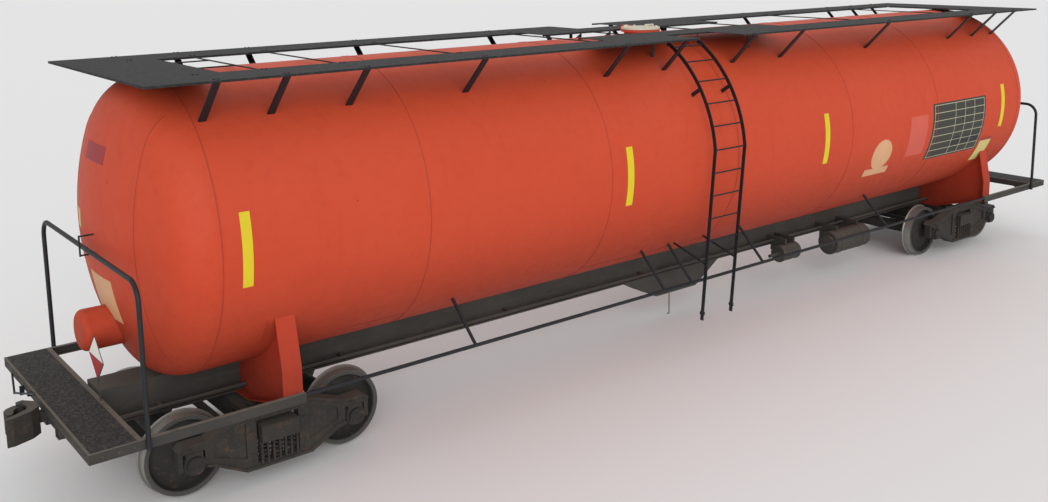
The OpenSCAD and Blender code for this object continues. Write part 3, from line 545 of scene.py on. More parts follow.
@dataclass(frozen=True)
class SignFilm(Finish):
    """A blank sign or tape: flat colour, weathered in small flakes, with dust and scratches."""

    colour: Colour = tint(225, 195, 150)
    under: Colour = tint(197, 72, 48)
    flakes: float = 0.25
    rough: float = 0.5

    def build(self) -> bpy.types.Material:
        """Flakes show the paint below.

        Returns:
            The material.
        """
        sh = Shader(self.name)
        fine = sh.noise(22.0, 8.0, 0.75)
        cloud = sh.noise(2.5, 4.0, 0.6)
        shade = tuple(c * 0.72 for c in self.colour[:3]) + (1.0,)
        colour = sh.blend((cloud - 0.35) * 1.1, self.colour, shade)
        colour = sh.blend(fine.above(0.67, 0.06) * self.flakes * 3.0, colour, self.under)
        normal = sh.bump(sh.noise(180.0, 3.0), 0.0003, 0.6)
        return sh.finish({"Base Color": colour, "Roughness": self.rough + fine * 0.2, "Normal": normal})


@dataclass(frozen=True)
class StudioFloor(Finish):
    """Plain pale floor."""

    colour: Colour = (0.86, 0.86, 0.86, 1.0)

    def build(self) -> bpy.types.Material:
        """One even colour."""
        sh = Shader(self.name)
        return sh.finish({"Base Color": self.colour, "Roughness": 0.9})


class Finishes:
    """Every finish of the car, by the name that the pieces ask for."""

    tank = TankPaint("tank_enamel", Slot.TANK)
    # Painted shade under the tank: a darker enamel and a stronger darkening low down, for the bolsters and the bottom
    # outlet.
    shaded_under_tank = TankPaint(
        "bolster_enamel_painted_shade", Slot.TANK, base=tint(172, 54, 32), chalk_and_sheen=tint(184, 66, 42), low_darkening_top=1.3, low_darkening_share=0.6
    )
    seam = TankPaint(
        "seam_enamel", Slot.TANK, base=tint(164, 58, 36), chalk_and_sheen=tint(172, 66, 42), deep=tint(140, 46, 30)
    )
    lid = WornPaint(
        "lid_cream", Slot.PALE, base=tint(222, 214, 196), worn=tint(196, 186, 166), dust=tint(170, 160, 142),
        rust=tint(140, 90, 60), dust_share=0.3, rough=0.5,
    )
    frame = WornPaint("frame_black", Slot.FRAME, rust_share=0.3)
    # The platform frames' lighter top edge is partly a painted highlight.
    platform = WornPaint(
        "platform_black", Slot.FRAME, base=tint(50, 48, 45), worn=tint(74, 70, 64), dust=tint(118, 112, 102),
        worn_highlit_edge_height=1.046,
    )
    rail = WornPaint(
        "rail_black", Slot.RAIL, base=tint(22, 24, 28), worn=tint(32, 35, 40), dust=tint(46, 49, 54),
        rust=tint(62, 44, 36), dust_share=0.3, rust_share=0.1, rough=0.42, grain_depth=0.0003,
    )
    tread = TreadGrit("tread_grit", Slot.TREAD)
    walk = TreadGrit(
        "walkway_grit", Slot.TREAD, base=tint(22, 22, 23), grain=tint(52, 52, 54), dust=tint(34, 34, 35),
        pebble=38.0, depth=0.004,
    )
    pebble = WornPaint(
        "deck_pebbles", Slot.TREAD, base=tint(34, 33, 33), worn=tint(66, 64, 63), dust=tint(80, 78, 76),
        dust_share=0.2, rough=0.55,
    )
    cast = RoughCasting("coupler_casting", Slot.CAST, base=tint(54, 50, 45))
    iron = RoughCasting("truck_casting", Slot.IRON)
    spring = RoughCasting("spring_steel", Slot.IRON, base=tint(50, 46, 42), dust_share=0.25)
    cap = RoughCasting("cap_iron", Slot.WHEEL, base=tint(48, 44, 40), dust_share=0.2)
    bolt = WornPaint("bolt_heads", Slot.FRAME, base=tint(60, 56, 52), worn=tint(96, 90, 82), rust_share=0.5)
    dark_bolt = WornPaint("rail_bolts", Slot.RAIL, base=tint(26, 28, 32), worn=tint(44, 46, 50), rust_share=0.2)
    yellow = SignFilm("yellow_tape", Slot.SIGN, colour=tint(212, 192, 14), flakes=0.05, rough=0.5)
    cream = SignFilm("cream_film", Slot.SIGN, colour=tint(208, 160, 118), flakes=0.35)
    board = SignFilm("dark_board", Slot.SIGN, colour=tint(46, 48, 40), under=tint(80, 56, 44), flakes=0.12)
    rule = SignFilm("cream_rules", Slot.SIGN, colour=tint(178, 174, 150), under=tint(58, 60, 50), flakes=0.3)
    light_red = SignFilm("light_red_film", Slot.SIGN, colour=tint(200, 84, 64), flakes=0.2)
    dark_red = SignFilm("dark_red_film", Slot.SIGN, colour=tint(150, 34, 40), flakes=0.1)
    lemon = SignFilm("lemon_plate", Slot.SIGN, colour=tint(200, 190, 118), flakes=0.25)
    cell = SignFilm("black_cells", Slot.SIGN, colour=tint(24, 26, 30), under=tint(58, 60, 50), flakes=0.1)
    white = SignFilm("white_film", Slot.SIGN, colour=tint(232, 228, 220), under=tint(150, 150, 145), flakes=0.08)
    hazard = SignFilm("hazard_red", Slot.SIGN, colour=tint(168, 28, 34), under=tint(90, 60, 50), flakes=0.08)
    board_back = WornPaint("sign_steel", Slot.SIGN, base=tint(48, 48, 48), worn=tint(82, 80, 76), rust_share=0.3)
    floor = StudioFloor("studio_floor", Slot.SIGN)


# ---------------------------------------------------------------- mesh helpers


class Shape:
    """A mesh under construction, in metres in the car's own frame."""

    def __init__(self) -> None:
        """Starts with no points."""
        self.bm = bmesh.new()

    def grid(self, place: Place, us: Sequence[float], vs: Sequence[float], low: float, high: float) -> None:
        """A closed sheet over a grid of two surface coordinates.

        Args:
            place: gives the point for a pair of coordinates and a lift off the surface.
            us: values of the first coordinate.
            vs: values of the second coordinate.
            low: lift of the back face.
            high: lift of the front face.
        """
        layers = [[[self.bm.verts.new(place(u, v, lift)) for v in vs] for u in us] for lift in (low, high)]
        nu, nv = len(us) - 1, len(vs) - 1
        for i in range(nu):
            for j in range(nv):
                for layer in layers:
                    self.bm.faces.new((layer[i][j], layer[i + 1][j], layer[i + 1][j + 1], layer[i][j + 1]))
        back, front = layers
        for i in range(nu):
            for j in (0, nv):
                self.bm.faces.new((back[i][j], back[i + 1][j], front[i + 1][j], front[i][j]))
        for j in range(nv):
            for i in (0, nu):
                self.bm.faces.new((back[i][j], back[i][j + 1], front[i][j + 1], front[i][j]))

    def disc(self, place: Place, u: float, v: float, ru: float, rv: float, low: float, high: float, sides: int) -> None:
        """A closed round sheet on a surface.

        Args:
            place: gives the point for a pair of coordinates and a lift.
            u: first coordinate of the middle.
            v: second coordinate of the middle.
            ru: radius along the first coordinate.
            rv: radius along the second coordinate.
            low: lift of the back face.
            high: lift of the front face.
            sides: number of edges round it.
        """
        turns = [2 * math.pi * k / sides for k in range(sides)]
        rings = []
        for lift in (low, high):
            middle = self.bm.verts.new(place(u, v, lift))
            loops = [
                [self.bm.verts.new(place(u + s * ru * math.cos(t), v + s * rv * math.sin(t), lift)) for t in turns]
                for s in (0.35, 0.7, 1.0)
            ]
            for k in range(sides):
                n = (k + 1) % sides
                self.bm.faces.new((middle, loops[0][k], loops[0][n]))
                for inner, outer in zip(loops, loops[1:]):
                    self.bm.faces.new((inner[k], outer[k], outer[n], inner[n]))
            rings.append(loops[-1])
        for k in range(sides):
            n = (k + 1) % sides
            self.bm.faces.new((rings[0][k], rings[0][n], rings[1][n], rings[1][k]))

    def block(
        self, low: Sequence[float], high: Sequence[float], edge: float = 0.002, turn: Matrix | None = None
    ) -> None:
        """A box with bevelled edges.

        Args:
            low: lowest corner.
            high: highest corner.
            edge: width of the bevel.
            turn: optional transform after the box is made.
        """
        size = [b - a for a, b in zip(low, high)]
        middle = [(a + b) / 2 for a, b in zip(low, high)]
        made = bmesh.ops.create_cube(self.bm, size=1.0, matrix=Matrix.Translation(middle) @ Matrix.Diagonal((*size, 1)))
        edges = list({e for v in made["verts"] for e in v.link_edges})
        width = min(edge, min(size) * 0.3)
        done = bmesh.ops.bevel(self.bm, geom=edges, offset=width, segments=1, affect="EDGES")
        if turn is not None:
            verts = {v for f in done["faces"] for v in f.verts}
            bmesh.ops.transform(self.bm, matrix=turn, verts=list(verts))

    def _ring(self, middle: Vector, side: Vector, other: Vector, radius: float, sides: int) -> list[bmesh.types.BMVert]:
        """A ring of new points.

        Args:
            middle: centre of the ring.
            side: direction of its first point.
            other: direction a quarter turn on.
            radius: its radius.
            sides: number of points.

        Returns:
            The points in order.
        """
        turns = (2 * math.pi * k / sides for k in range(sides))
        return [self.bm.verts.new(middle + (side * math.cos(t) + other * math.sin(t)) * radius) for t in turns]

    def lathe(self, origin: Vector, axis: Vector, profile: Sequence[tuple[float, float]], sides: int) -> None:
        """A turned solid; the profile runs from axis to axis.

        Args:
            origin: point of the axis where the profile's second number is 0.
            axis: direction of the axis.
            profile: pairs of radius and distance along the axis, open at both ends on the axis.
            sides: number of faces round it.
        """
        way = axis.normalized()
        side = way.orthogonal().normalized()
        other = way.cross(side)
        loops = []
        for radius, along in profile:
            middle = origin + way * along
            if radius < 1e-6:
                loops.append([self.bm.verts.new(middle)])
            else:
                loops.append(self._ring(middle, side, other, radius, sides))
        for first, second in zip(loops, loops[1:]):
            for k in range(sides):
                n = (k + 1) % sides
                if len(first) == 1:
                    self.bm.faces.new((first[0], second[k], second[n]))
                elif len(second) == 1:
                    self.bm.faces.new((first[k], second[0], first[n]))
                else:
                    self.bm.faces.new((first[k], second[k], second[n], first[n]))

    def tube(self, path: Sequence[Vector], radius: float, sides: int = 10, closed: bool = False) -> None:
        """A round bar along a path, with flat ends or closed on itself.

        Args:
            path: the points of its middle line.
            radius: the bar's radius.
            sides: number of faces round it.
            closed: whether the last point joins the first.
        """
        count = len(path)
        loops = []
        side = None
        for k, point in enumerate(path):
            before = path[k - 1] if (closed or k) else point
            after = path[(k + 1) % count] if (closed or k < count - 1) else point
            way = (after - before).normalized()
            side = way.orthogonal().normalized() if side is None else (side - way * side.dot(way)).normalized()
            other = way.cross(side)
            loops.append(self._ring(point, side, other, radius, sides))
        pairs = list(zip(loops, loops[1:])) + ([(loops[-1], loops[0])] if closed else [])
        for first, second in pairs:
            for k in range(sides):
                n = (k + 1) % sides
                self.bm.faces.new((first[k], second[k], second[n], first[n]))
        if not closed:
            self.bm.faces.new(loops[0])
            self.bm.faces.new(list(reversed(loops[-1])))

    def mesh(self, name: str) -> bpy.types.Mesh:
        """The finished mesh, with its faces outwards.

        Args:
            name: the mesh's name.

        Returns:
            The mesh; this shape is used up.
        """
        bmesh.ops.recalc_face_normals(self.bm, faces=self.bm.faces)
        made = bpy.data.meshes.new(name)
        self.bm.to_mesh(made)
        self.bm.free()
        return made


class Fitter:
    """Turns meshes into named pieces that ride on a body."""

    def __init__(self) -> None:
        """Counts what has been fitted."""
        self.count = 0

    def fit(self, name: str, mesh: bpy.types.Mesh, finish: Finish, body: str, angle: float = 35.0) -> bpy.types.Object:
        """Adds a piece.

        Args:
            name: the piece's name.
            mesh: its mesh, in the car's frame.
            finish: its finish.
            body: the body that it moves with.
            angle: edges sharper than this stay crisp.

        Returns:
            The new object.
        """
        mesh.materials.clear()
        mesh.materials.append(finish.material())
        mesh.polygons.foreach_set("use_smooth", [True] * len(mesh.polygons))
        mesh.set_sharp_from_angle(angle=math.radians(angle))
        piece = bpy.data.objects.new(name, mesh)
        bpy.context.scene.collection.objects.link(piece)
        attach(piece, body)
        self.count += 1
        LOG.info("%s on %s: %d faces, %s", name, body, len(mesh.polygons), finish.name)
        return piece


class GeoTree:
    """A Geometry Nodes tree with named inputs, grown into plain meshes."""

    def __init__(self, name: str, inputs: Sequence[tuple[str, str]]) -> None:
        """Makes the tree.

        Args:
            name: the tree's name.
            inputs: pairs of an input's label and its socket type.
        """
        self.group = bpy.data.node_groups.new(name, "GeometryNodeTree")
        face = self.group.interface
        face.new_socket("Geometry", in_out="INPUT", socket_type="NodeSocketGeometry")
        for label, kind in inputs:
            face.new_socket(label, in_out="INPUT", socket_type=kind)
        face.new_socket("Geometry", in_out="OUTPUT", socket_type="NodeSocketGeometry")
        self.start = self.group.nodes.new("NodeGroupInput")
        self.ids = {
            item.name: item.identifier
            for item in face.items_tree
            if item.item_type == "SOCKET" and item.in_out == "INPUT"
        }

    def given(self, label: str) -> bpy.types.NodeSocket:
        """The socket of one of the tree's own inputs."""
        return self.start.outputs[label]

    def node(
        self, kind: str, settings: dict[str, Any] | None = None, values: dict[str, Any] | None = None
    ) -> bpy.types.Node:
        """Adds one node.

        Args:
            kind: the node's type name.
            settings: attributes set first.
            values: socket name or identifier to a value, an output socket, or a list of outputs.

        Returns:
            The new node.
        """
        made = self.group.nodes.new(kind)
        for key, value in (settings or {}).items():
            setattr(made, key, value)
        for key, value in (values or {}).items():
            socket = input_of(made, key)
            for item in value if isinstance(value, list) else [value]:
                if isinstance(item, bpy.types.NodeSocket):
                    self.group.links.new(item, socket)
                else:
                    socket.default_value = item
        return made

    def math(self, operation: str, first: Any, second: Any) -> bpy.types.NodeSocket:
        """One Math node on two sockets or numbers."""
        return self.node("ShaderNodeMath", {"operation": operation}, {"Value": first, "Value_001": second}).outputs[0]

    def chance(self, low: float, high: float) -> bpy.types.NodeSocket:
        """A random number for each point, fixed by the tree's Seed input.

        Args:
            low: least value.
            high: greatest value.

        Returns:
            The number's socket.
        """
        values = {"Min_001": low, "Max_001": high, "Seed": self.given("Seed")}
        made = self.node("FunctionNodeRandomValue", {"data_type": "FLOAT"}, values)
        return next(s for s in made.outputs if s.identifier == "Value_001")

    def close(self, geometry: bpy.types.NodeSocket) -> None:
        """Ends the tree in Realize Instances and Set Material.

        Args:
            geometry: the socket that holds the geometry made so far.
        """
        real = self.node("GeometryNodeRealizeInstances", values={"Geometry": geometry})
        dressed = self.node(
            "GeometryNodeSetMaterial", values={"Geometry": real.outputs[0], "Material": self.given("Material")}
        )
        leave = self.group.nodes.new("NodeGroupOutput")
        self.group.links.new(dressed.outputs[0], leave.inputs[0])

    def grow(self, name: str, base: bpy.types.Mesh, finish: Finish, values: dict[str, Any]) -> bpy.types.Mesh:
        """Runs the tree on a base mesh.

        Args:
            name: name of the mesh that it gives.
            base: the mesh that the tree starts from.
            finish: the finish that its Material input gets.
            values: the other inputs, by label.

        Returns:
            A plain mesh with no modifier.
        """
        holder = bpy.data.objects.new(name + "_base", base)
        bpy.context.scene.collection.objects.link(holder)
        change = holder.modifiers.new("grow", "NODES")
        change.node_group = self.group
        change[self.ids["Material"]] = finish.material()
        for label, value in values.items():
            change[self.ids[label]] = value
        graph = bpy.context.evaluated_depsgraph_get()
        made = bpy.data.meshes.new_from_object(holder.evaluated_get(graph))
        holder.modifiers.remove(change)
        bpy.data.objects.remove(holder)
        bpy.data.meshes.remove(base)
        made.name = name
        return made


@dataclass(frozen=True)
class Dot:
    """A place for a repeated piece: its point and the direction it stands out in."""

    point: tuple[float, float, float]
    axis: tuple[float, float, float]


class Repeats:
    """The Geometry Nodes trees that make bolts, weld beads, coil springs and deck pebbles."""

    def __init__(self) -> None:
        """Builds each tree once."""
        self.bolt = self._bolt_tree()
        self.bead = self._bead_tree()
        self.coil = self._coil_tree()
        self.grit = self._grit_tree()

    @staticmethod
    def _bolt_tree() -> GeoTree:
        """Hexagon heads on washers, each turned by chance about its own axis.

        Returns:
            The tree.
        """
        tree = GeoTree(
            "hex_bolts",
            [("Head radius", "NodeSocketFloat"), ("Head height", "NodeSocketFloat"),
             ("Washer radius", "NodeSocketFloat"), ("Washer height", "NodeSocketFloat"), ("Seed", "NodeSocketInt"),
             ("Material", "NodeSocketMaterial")],
        )
        head = tree.node(
            "GeometryNodeMeshCylinder",
            values={"Vertices": 6, "Radius": tree.given("Head radius"), "Depth": tree.given("Head height")},
        )
        washer = tree.node(
            "GeometryNodeMeshCylinder",
            values={"Vertices": 12, "Radius": tree.given("Washer radius"), "Depth": tree.given("Washer height")},
        )
        half = tree.math("MULTIPLY", tree.given("Head height"), 0.5)
        lift = tree.node("ShaderNodeCombineXYZ", values={"Z": half})
        raised = tree.node(
            "GeometryNodeTransform", values={"Geometry": head.outputs["Mesh"], "Translation": lift.outputs[0]}
        )
        both = tree.node("GeometryNodeJoinGeometry", values={"Geometry": [raised.outputs[0], washer.outputs["Mesh"]]})
        way = tree.node("GeometryNodeInputNamedAttribute", {"data_type": "FLOAT_VECTOR"}, {"Name": "axis"})
        stand = tree.node("FunctionNodeAlignRotationToVector", {"axis": "Z"}, {"Vector": way.outputs[0]})
        spin = tree.node(
            "FunctionNodeAxisAngleToRotation", values={"Axis": (0.0, 0.0, 1.0), "Angle": tree.chance(0.0, 6.283)}
        )
        turned = tree.node(
            "FunctionNodeRotateRotation",
            {"rotation_space": "LOCAL"},
            {"Rotation": stand.outputs[0], "Rotate By": spin.outputs[0]},
        )
        spread = tree.node(
            "GeometryNodeInstanceOnPoints",
            values={"Points": tree.given("Geometry"), "Instance": both.outputs[0], "Rotation": turned.outputs[0]},
        )
        tree.close(spread.outputs[0])
        return tree

    @staticmethod
    def _bead_tree() -> GeoTree:
        """A weld bead that follows edges, its width rippling a little.

        Returns:
            The tree.
        """
        tree = GeoTree(
            "weld_beads",
            [("Bead radius", "NodeSocketFloat"), ("Ripple", "NodeSocketFloat"), ("Ripple scale", "NodeSocketFloat"),
             ("Material", "NodeSocketMaterial")],
        )
        line = tree.node("GeometryNodeMeshToCurve", values={"Mesh": tree.given("Geometry")})
        ripple = tree.node("ShaderNodeTexNoise", values={"Scale": tree.given("Ripple scale"), "Detail": 2.0})
        centred = tree.math("SUBTRACT", ripple.outputs[0], 0.5)
        width = tree.math("ADD", tree.math("MULTIPLY", centred, tree.given("Ripple")), 1.0)
        grown = tree.node("GeometryNodeSetCurveRadius", values={"Curve": line.outputs[0], "Radius": width})
        profile = tree.node(
            "GeometryNodeCurvePrimitiveCircle", values={"Resolution": 6, "Radius": tree.given("Bead radius")}
        )
        bead = tree.node(
            "GeometryNodeCurveToMesh",
            values={"Curve": grown.outputs[0], "Profile Curve": profile.outputs[0], "Fill Caps": True},
        )
        tree.close(bead.outputs[0])
        return tree

    @staticmethod
    def _coil_tree() -> GeoTree:
        """Coil springs standing on points.

        Returns:
            The tree.
        """
        tree = GeoTree(
            "coil_springs",
            [("Coil radius", "NodeSocketFloat"), ("Wire radius", "NodeSocketFloat"), ("Turns", "NodeSocketFloat"),
             ("Height", "NodeSocketFloat"), ("Material", "NodeSocketMaterial")],
        )
        line = tree.node(
            "GeometryNodeCurveSpiral",
            values={"Resolution": 20, "Rotations": tree.given("Turns"), "Start Radius": tree.given("Coil radius"),
                    "End Radius": tree.given("Coil radius"), "Height": tree.given("Height")},
        )
        wire = tree.node(
            "GeometryNodeCurvePrimitiveCircle", values={"Resolution": 8, "Radius": tree.given("Wire radius")}
        )
        coil = tree.node(
            "GeometryNodeCurveToMesh",
            values={"Curve": line.outputs[0], "Profile Curve": wire.outputs[0], "Fill Caps": True},
        )
        spread = tree.node(
            "GeometryNodeInstanceOnPoints", values={"Points": tree.given("Geometry"), "Instance": coil.outputs[0]}
        )
        tree.close(spread.outputs[0])
        return tree

    @staticmethod
    def _grit_tree() -> GeoTree:
        """Flattened pebbles scattered over faces, with a fixed seed.

        Returns:
            The tree.
        """
        tree = GeoTree(
            "deck_grit",
            [("Density", "NodeSocketFloat"), ("Pebble radius", "NodeSocketFloat"), ("Seed", "NodeSocketInt"),
             ("Material", "NodeSocketMaterial")],
        )
        points = tree.node(
            "GeometryNodeDistributePointsOnFaces",
            values={"Mesh": tree.given("Geometry"), "Density": tree.given("Density"), "Seed": tree.given("Seed")},
        )
        ball = tree.node("GeometryNodeMeshIcoSphere", values={"Radius": tree.given("Pebble radius"), "Subdivisions": 1})
        flat = tree.node(
            "GeometryNodeTransform", values={"Geometry": ball.outputs["Mesh"], "Scale": (1.0, 1.0, 0.45)}
        )
        spread = tree.node(
            "GeometryNodeInstanceOnPoints",
            values={"Points": points.outputs["Points"], "Instance": flat.outputs[0],
                    "Rotation": points.outputs["Rotation"], "Scale": tree.chance(0.6, 1.25)},
        )
        tree.close(spread.outputs[0])
        return tree

    def bolts(self, name: str, dots: Sequence[Dot], finish: Finish, size: float, seed: int = 1) -> bpy.types.Mesh:
        """Bolt heads at the given places.

        Args:
            name: name of the mesh.
            dots: where each bolt stands.
            finish: its finish.
            size: radius of a head across its corners.
            seed: fixes the chance turn of each head.

        Returns:
            The mesh of all the heads.
        """
        base = bpy.data.meshes.new(name + "_points")
        base.from_pydata([d.point for d in dots], [], [])
        way = base.attributes.new("axis", "FLOAT_VECTOR", "POINT")
        way.data.foreach_set("vector", [c for d in dots for c in d.axis])
        return self.bolt.grow(
            name, base, finish,
            {"Head radius": size, "Head height": size * 0.9, "Washer radius": size * 1.45,
             "Washer height": size * 0.35, "Seed": seed},
        )

    def beads(self, name: str, paths: Sequence[Sequence[Vector]], finish: Finish, radius: float) -> bpy.types.Mesh:
        """Weld beads along polylines.

        Args:
            name: name of the mesh.
            paths: the polylines; one whose last point is its first is closed.
            finish: its finish.
            radius: half the bead's width.

        Returns:
            The mesh of all the beads.
        """
        points: list[Vector] = []
        edges: list[tuple[int, int]] = []
        for path in paths:
            first, closed = len(points), (path[0] - path[-1]).length < 1e-6
            points.extend(path[:-1] if closed else path)
            last = len(points) - 1
            edges.extend((k, k + 1) for k in range(first, last))
            if closed:
                edges.append((last, first))
        base = bpy.data.meshes.new(name + "_lines")
        base.from_pydata([tuple(p) for p in points], edges, [])
        return self.bead.grow(name, base, finish, {"Bead radius": radius, "Ripple": 0.5, "Ripple scale": 9.0})


# ---------------------------------------------------------------- the car's surfaces


class Side(Enum):
    """The two long sides; the far one is the near one turned half a turn about the car's middle."""

    NEAR = 1
    FAR = -1

    def turned(self, point: Vector) -> Vector:
        """The point on this side that matches one on the near side."""
        return Vector((point.x * self.value, point.y * self.value, point.z))


@dataclass(frozen=True)
class CarForm:
    """The tank's main surfaces, in metres."""

    tank_r: float
    tank_z: float
    shell_half: float
    head_depth: float

    @classmethod
    def measured(cls) -> "CarForm":
        """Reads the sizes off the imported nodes.

        Returns:
            The car's form.
        """
        low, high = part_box("tank_shell")
        return cls(
            tank_r=(high.z - low.z) / 2,
            tank_z=(high.z + low.z) / 2,
            shell_half=high.x,
            head_depth=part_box("tank_heads")[1].x - high.x,
        )

    def round(self, side: Side) -> Place:
        """Places on the shell.

        Args:
            side: the long side that they lie on.

        Returns:
            A function of x, angle above the axis in degrees, and lift.
        """

        def place(x: float, angle: float, lift: float) -> Vector:
            """One point."""
            a, reach = math.radians(angle), self.tank_r + lift
            return side.turned(Vector((x, -reach * math.cos(a), self.tank_z + reach * math.sin(a))))

        return place

    def head(self, side: Side) -> Place:
        """Places on a dished head.

        Args:
            side: near for the A end's head, far for the B end's.

        Returns:
            A function of y, z and lift.
        """
        crown = self.tank_r * 2
        centre = crown - self.head_depth
        knuckle = (centre**2 + self.tank_r**2 - crown**2) / (2 * (self.tank_r - crown))
        rim = self.tank_r - knuckle
        edge = crown * math.sin(math.atan2(rim, centre))

        def place(y: float, z: float, lift: float) -> Vector:
            """One point on the crown or on the knuckle round it.

            Args:
                y: across the car.
                z: height.
                lift: distance off the surface.

            Returns:
                The point.
            """
            up = z - self.tank_z
            reach = math.hypot(y, up)
            if reach < edge:
                deep = -centre + math.sqrt(crown**2 - reach**2)
                way = Vector((-(deep + centre), y, up)).normalized()
            else:
                over = min(reach - rim, knuckle)
                deep = math.sqrt(max(knuckle**2 - over**2, 0.0))
                way = Vector((-deep, y * over / reach, up * over / reach)).normalized()
            return side.turned(Vector((-(self.shell_half + deep), y, z)) + way * lift)

        return place


def spaced(first: float, last: float, steps: int) -> list[float]:
    """Evenly spaced values, both ends included."""
    return [first + (last - first) * k / steps for k in range(steps + 1)]


# ---------------------------------------------------------------- sub-assemblies


@dataclass
class Tank:
    """Weld seams, warning stripes and blank signs of the tank."""

    form: CarForm
    fitter: Fitter
    repeats: Repeats
    girths: tuple[float, ...] = (-7.26, -4.97, -2.375, -0.09, 2.45, 4.73, 7.26)
    bead: float = 0.007
    petal_y: float = 0.87
    stripe_xs: tuple[float, ...] = (-7.015, -2.07, 1.84, 6.76)
    stripe_w: float = 0.104
    stripe_angle: float = 13.5
    film: float = 0.0022
    neck_r: float = 0.262
    saddle_width: float = 0.21
    saddle_angles: tuple[float, float] = (-31.2, -42.0)
    table_xs: tuple[float, float] = (4.60, 6.19)
    table_angles: tuple[float, float] = (-26.4, 8.5)
    column_xs: tuple[float, ...] = (0.05, 0.66, 0.95, 1.24, 1.54)
    cell_xs: tuple[float, ...] = (0.68, 0.97, 1.26)
    cell_w: float = 0.25
    rule_half: float = 0.005
    rule_angle: float = 0.19
    disc_x: float = 3.30
    disc_angle: float = -16.0
    disc_r: float = 0.25

    def build(self) -> None:
        """Makes and fits every piece on the tank."""
        self.seams()
        self.stripes()
        for side in Side:
            self.table(side)
            self.panels(side)
            self.head_panels(side)

    def seams(self) -> None:
        """Girth seams, petal seams on the heads and one lengthwise seam low on each course."""
        place, paths = self.form.round(Side.NEAR), []
        for x in self.girths:
            ring = [place(x, a, -0.001) for a in spaced(0, 360, 96)]
            ring[-1] = ring[0].copy()
            paths.append(ring)
        for number, (a, b) in enumerate(zip(self.girths, self.girths[1:])):
            paths.append([place(x, -128 if number % 2 else -52, -0.001) for x in spaced(a, b, 8)])
        for side in Side:
            head = self.form.head(side)
            reach = math.sqrt(self.form.tank_r**2 - self.petal_y**2) - 0.002
            for y in (-self.petal_y, self.petal_y):
                paths.append([head(y, self.form.tank_z + z, -0.001) for z in spaced(-reach, reach, 40)])
        paths.extend(self.joints())
        mesh = self.repeats.beads("weld_seams", paths, Finishes.seam, self.bead)
        self.fitter.fit("weld_seams", mesh, Finishes.seam, "car", 60)

    def joints(self) -> list[list[Vector]]:
        """Lines of the welds round the end vessel, round the manway neck and down the bolster saddles.

        Returns:
            One polyline for each weld.
        """
        low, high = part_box("end_vessel")
        middle = Vector((0.0, (low.y + high.y) / 2, (low.z + high.z) / 2))
        head, vessel_r = self.form.head(Side.NEAR), (high.z - low.z) / 2
        turns = [math.radians(a) for a in spaced(0, 360, 40)]
        vessel = [head(middle.y + vessel_r * math.cos(t), middle.z + vessel_r * math.sin(t), 0.002) for t in turns]
        low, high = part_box("manway_lid")
        centre_x, neck = (low.x + high.x) / 2, []
        for t in turns:
            y = self.neck_r * math.sin(t)
            z = self.form.tank_z + math.sqrt(self.form.tank_r**2 - y**2)
            neck.append(Vector((centre_x + self.neck_r * math.cos(t), y, z + 0.002)))
        for ring in (vessel, neck):
            ring[-1] = ring[0].copy()
        lines = [vessel, neck]
        low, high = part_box("body_bolsters")
        for side in Side:
            place = self.form.round(side)
            for x in (low.x, low.x + self.saddle_width, high.x - self.saddle_width, high.x):
                lines.append([place(x, a, 0.002) for a in spaced(*self.saddle_angles, 8)])
        return lines

    def stripes(self) -> None:
        """Upright yellow tapes along both sides."""
        shape = Shape()
        for side in Side:
            place = self.form.round(side)
            for x in self.stripe_xs:
                us = spaced(x - self.stripe_w / 2, x + self.stripe_w / 2, 2)
                shape.grid(place, us, spaced(-self.stripe_angle, self.stripe_angle, 16), FILM_BACK, self.film)
        self.fitter.fit("side_stripes", shape.mesh("side_stripes"), Finishes.yellow, "car")

    def table(self, side: Side) -> None:
        """A blank dark table with cream rules and three black cells.

        Args:
            side: the long side that it is on.
        """
        place, name = self.form.round(side), side.name.lower()
        (x0, x1), (low, top) = self.table_xs, self.table_angles
        board = Shape()
        board.grid(place, spaced(x0, x1, 8), spaced(low, top, 20), FILM_BACK, self.film)
        self.fitter.fit(f"table_board_{name}", board.mesh("table_board"), Finishes.board, "car")
        rules, lift = Shape(), self.film + 0.0016
        rows = spaced(low + 1.2, top - 1.2, 7)
        for angle in rows:
            edges = [angle - self.rule_angle, angle + self.rule_angle]
            rules.grid(place, spaced(x0 + 0.04, x1 - 0.04, 8), edges, 0.0, lift)
        for dx in self.column_xs:
            edges = [x0 + dx - self.rule_half, x0 + dx + self.rule_half]
            rules.grid(place, edges, spaced(rows[0], rows[-1], 20), 0.0, lift + 0.0004)
        self.fitter.fit(f"table_rules_{name}", rules.mesh("table_rules"), Finishes.rule, "car")
        cells = Shape()
        for dx in self.cell_xs:
            us = spaced(x0 + dx, x0 + dx + self.cell_w, 2)
            cells.grid(place, us, spaced(rows[1] + 0.5, rows[2] + 1.5, 4), 0.0, lift)
        self.fitter.fit(f"table_cells_{name}", cells.mesh("table_cells"), Finishes.cell, "car")

    def sheets(self, place: Place, name: str, rows: Sequence[Sheet], cuts: tuple[int, int]) -> None:
        """Blank coloured films on the tank.

        Args:
            place: gives the points of the surface that they lie on.
            name: the side's name, which ends each piece's name.
            rows: a film's label, finish, and its lower and upper bound in each coordinate.
            cuts: number of steps along each coordinate.
        """
        for label, finish, u0, u1, v0, v1 in rows:
            shape = Shape()
            shape.grid(place, spaced(u0, u1, cuts[0]), spaced(v0, v1, cuts[1]), FILM_BACK, self.film)
            self.fitter.fit(f"{label}_{name}", shape.mesh(label), finish, "car")

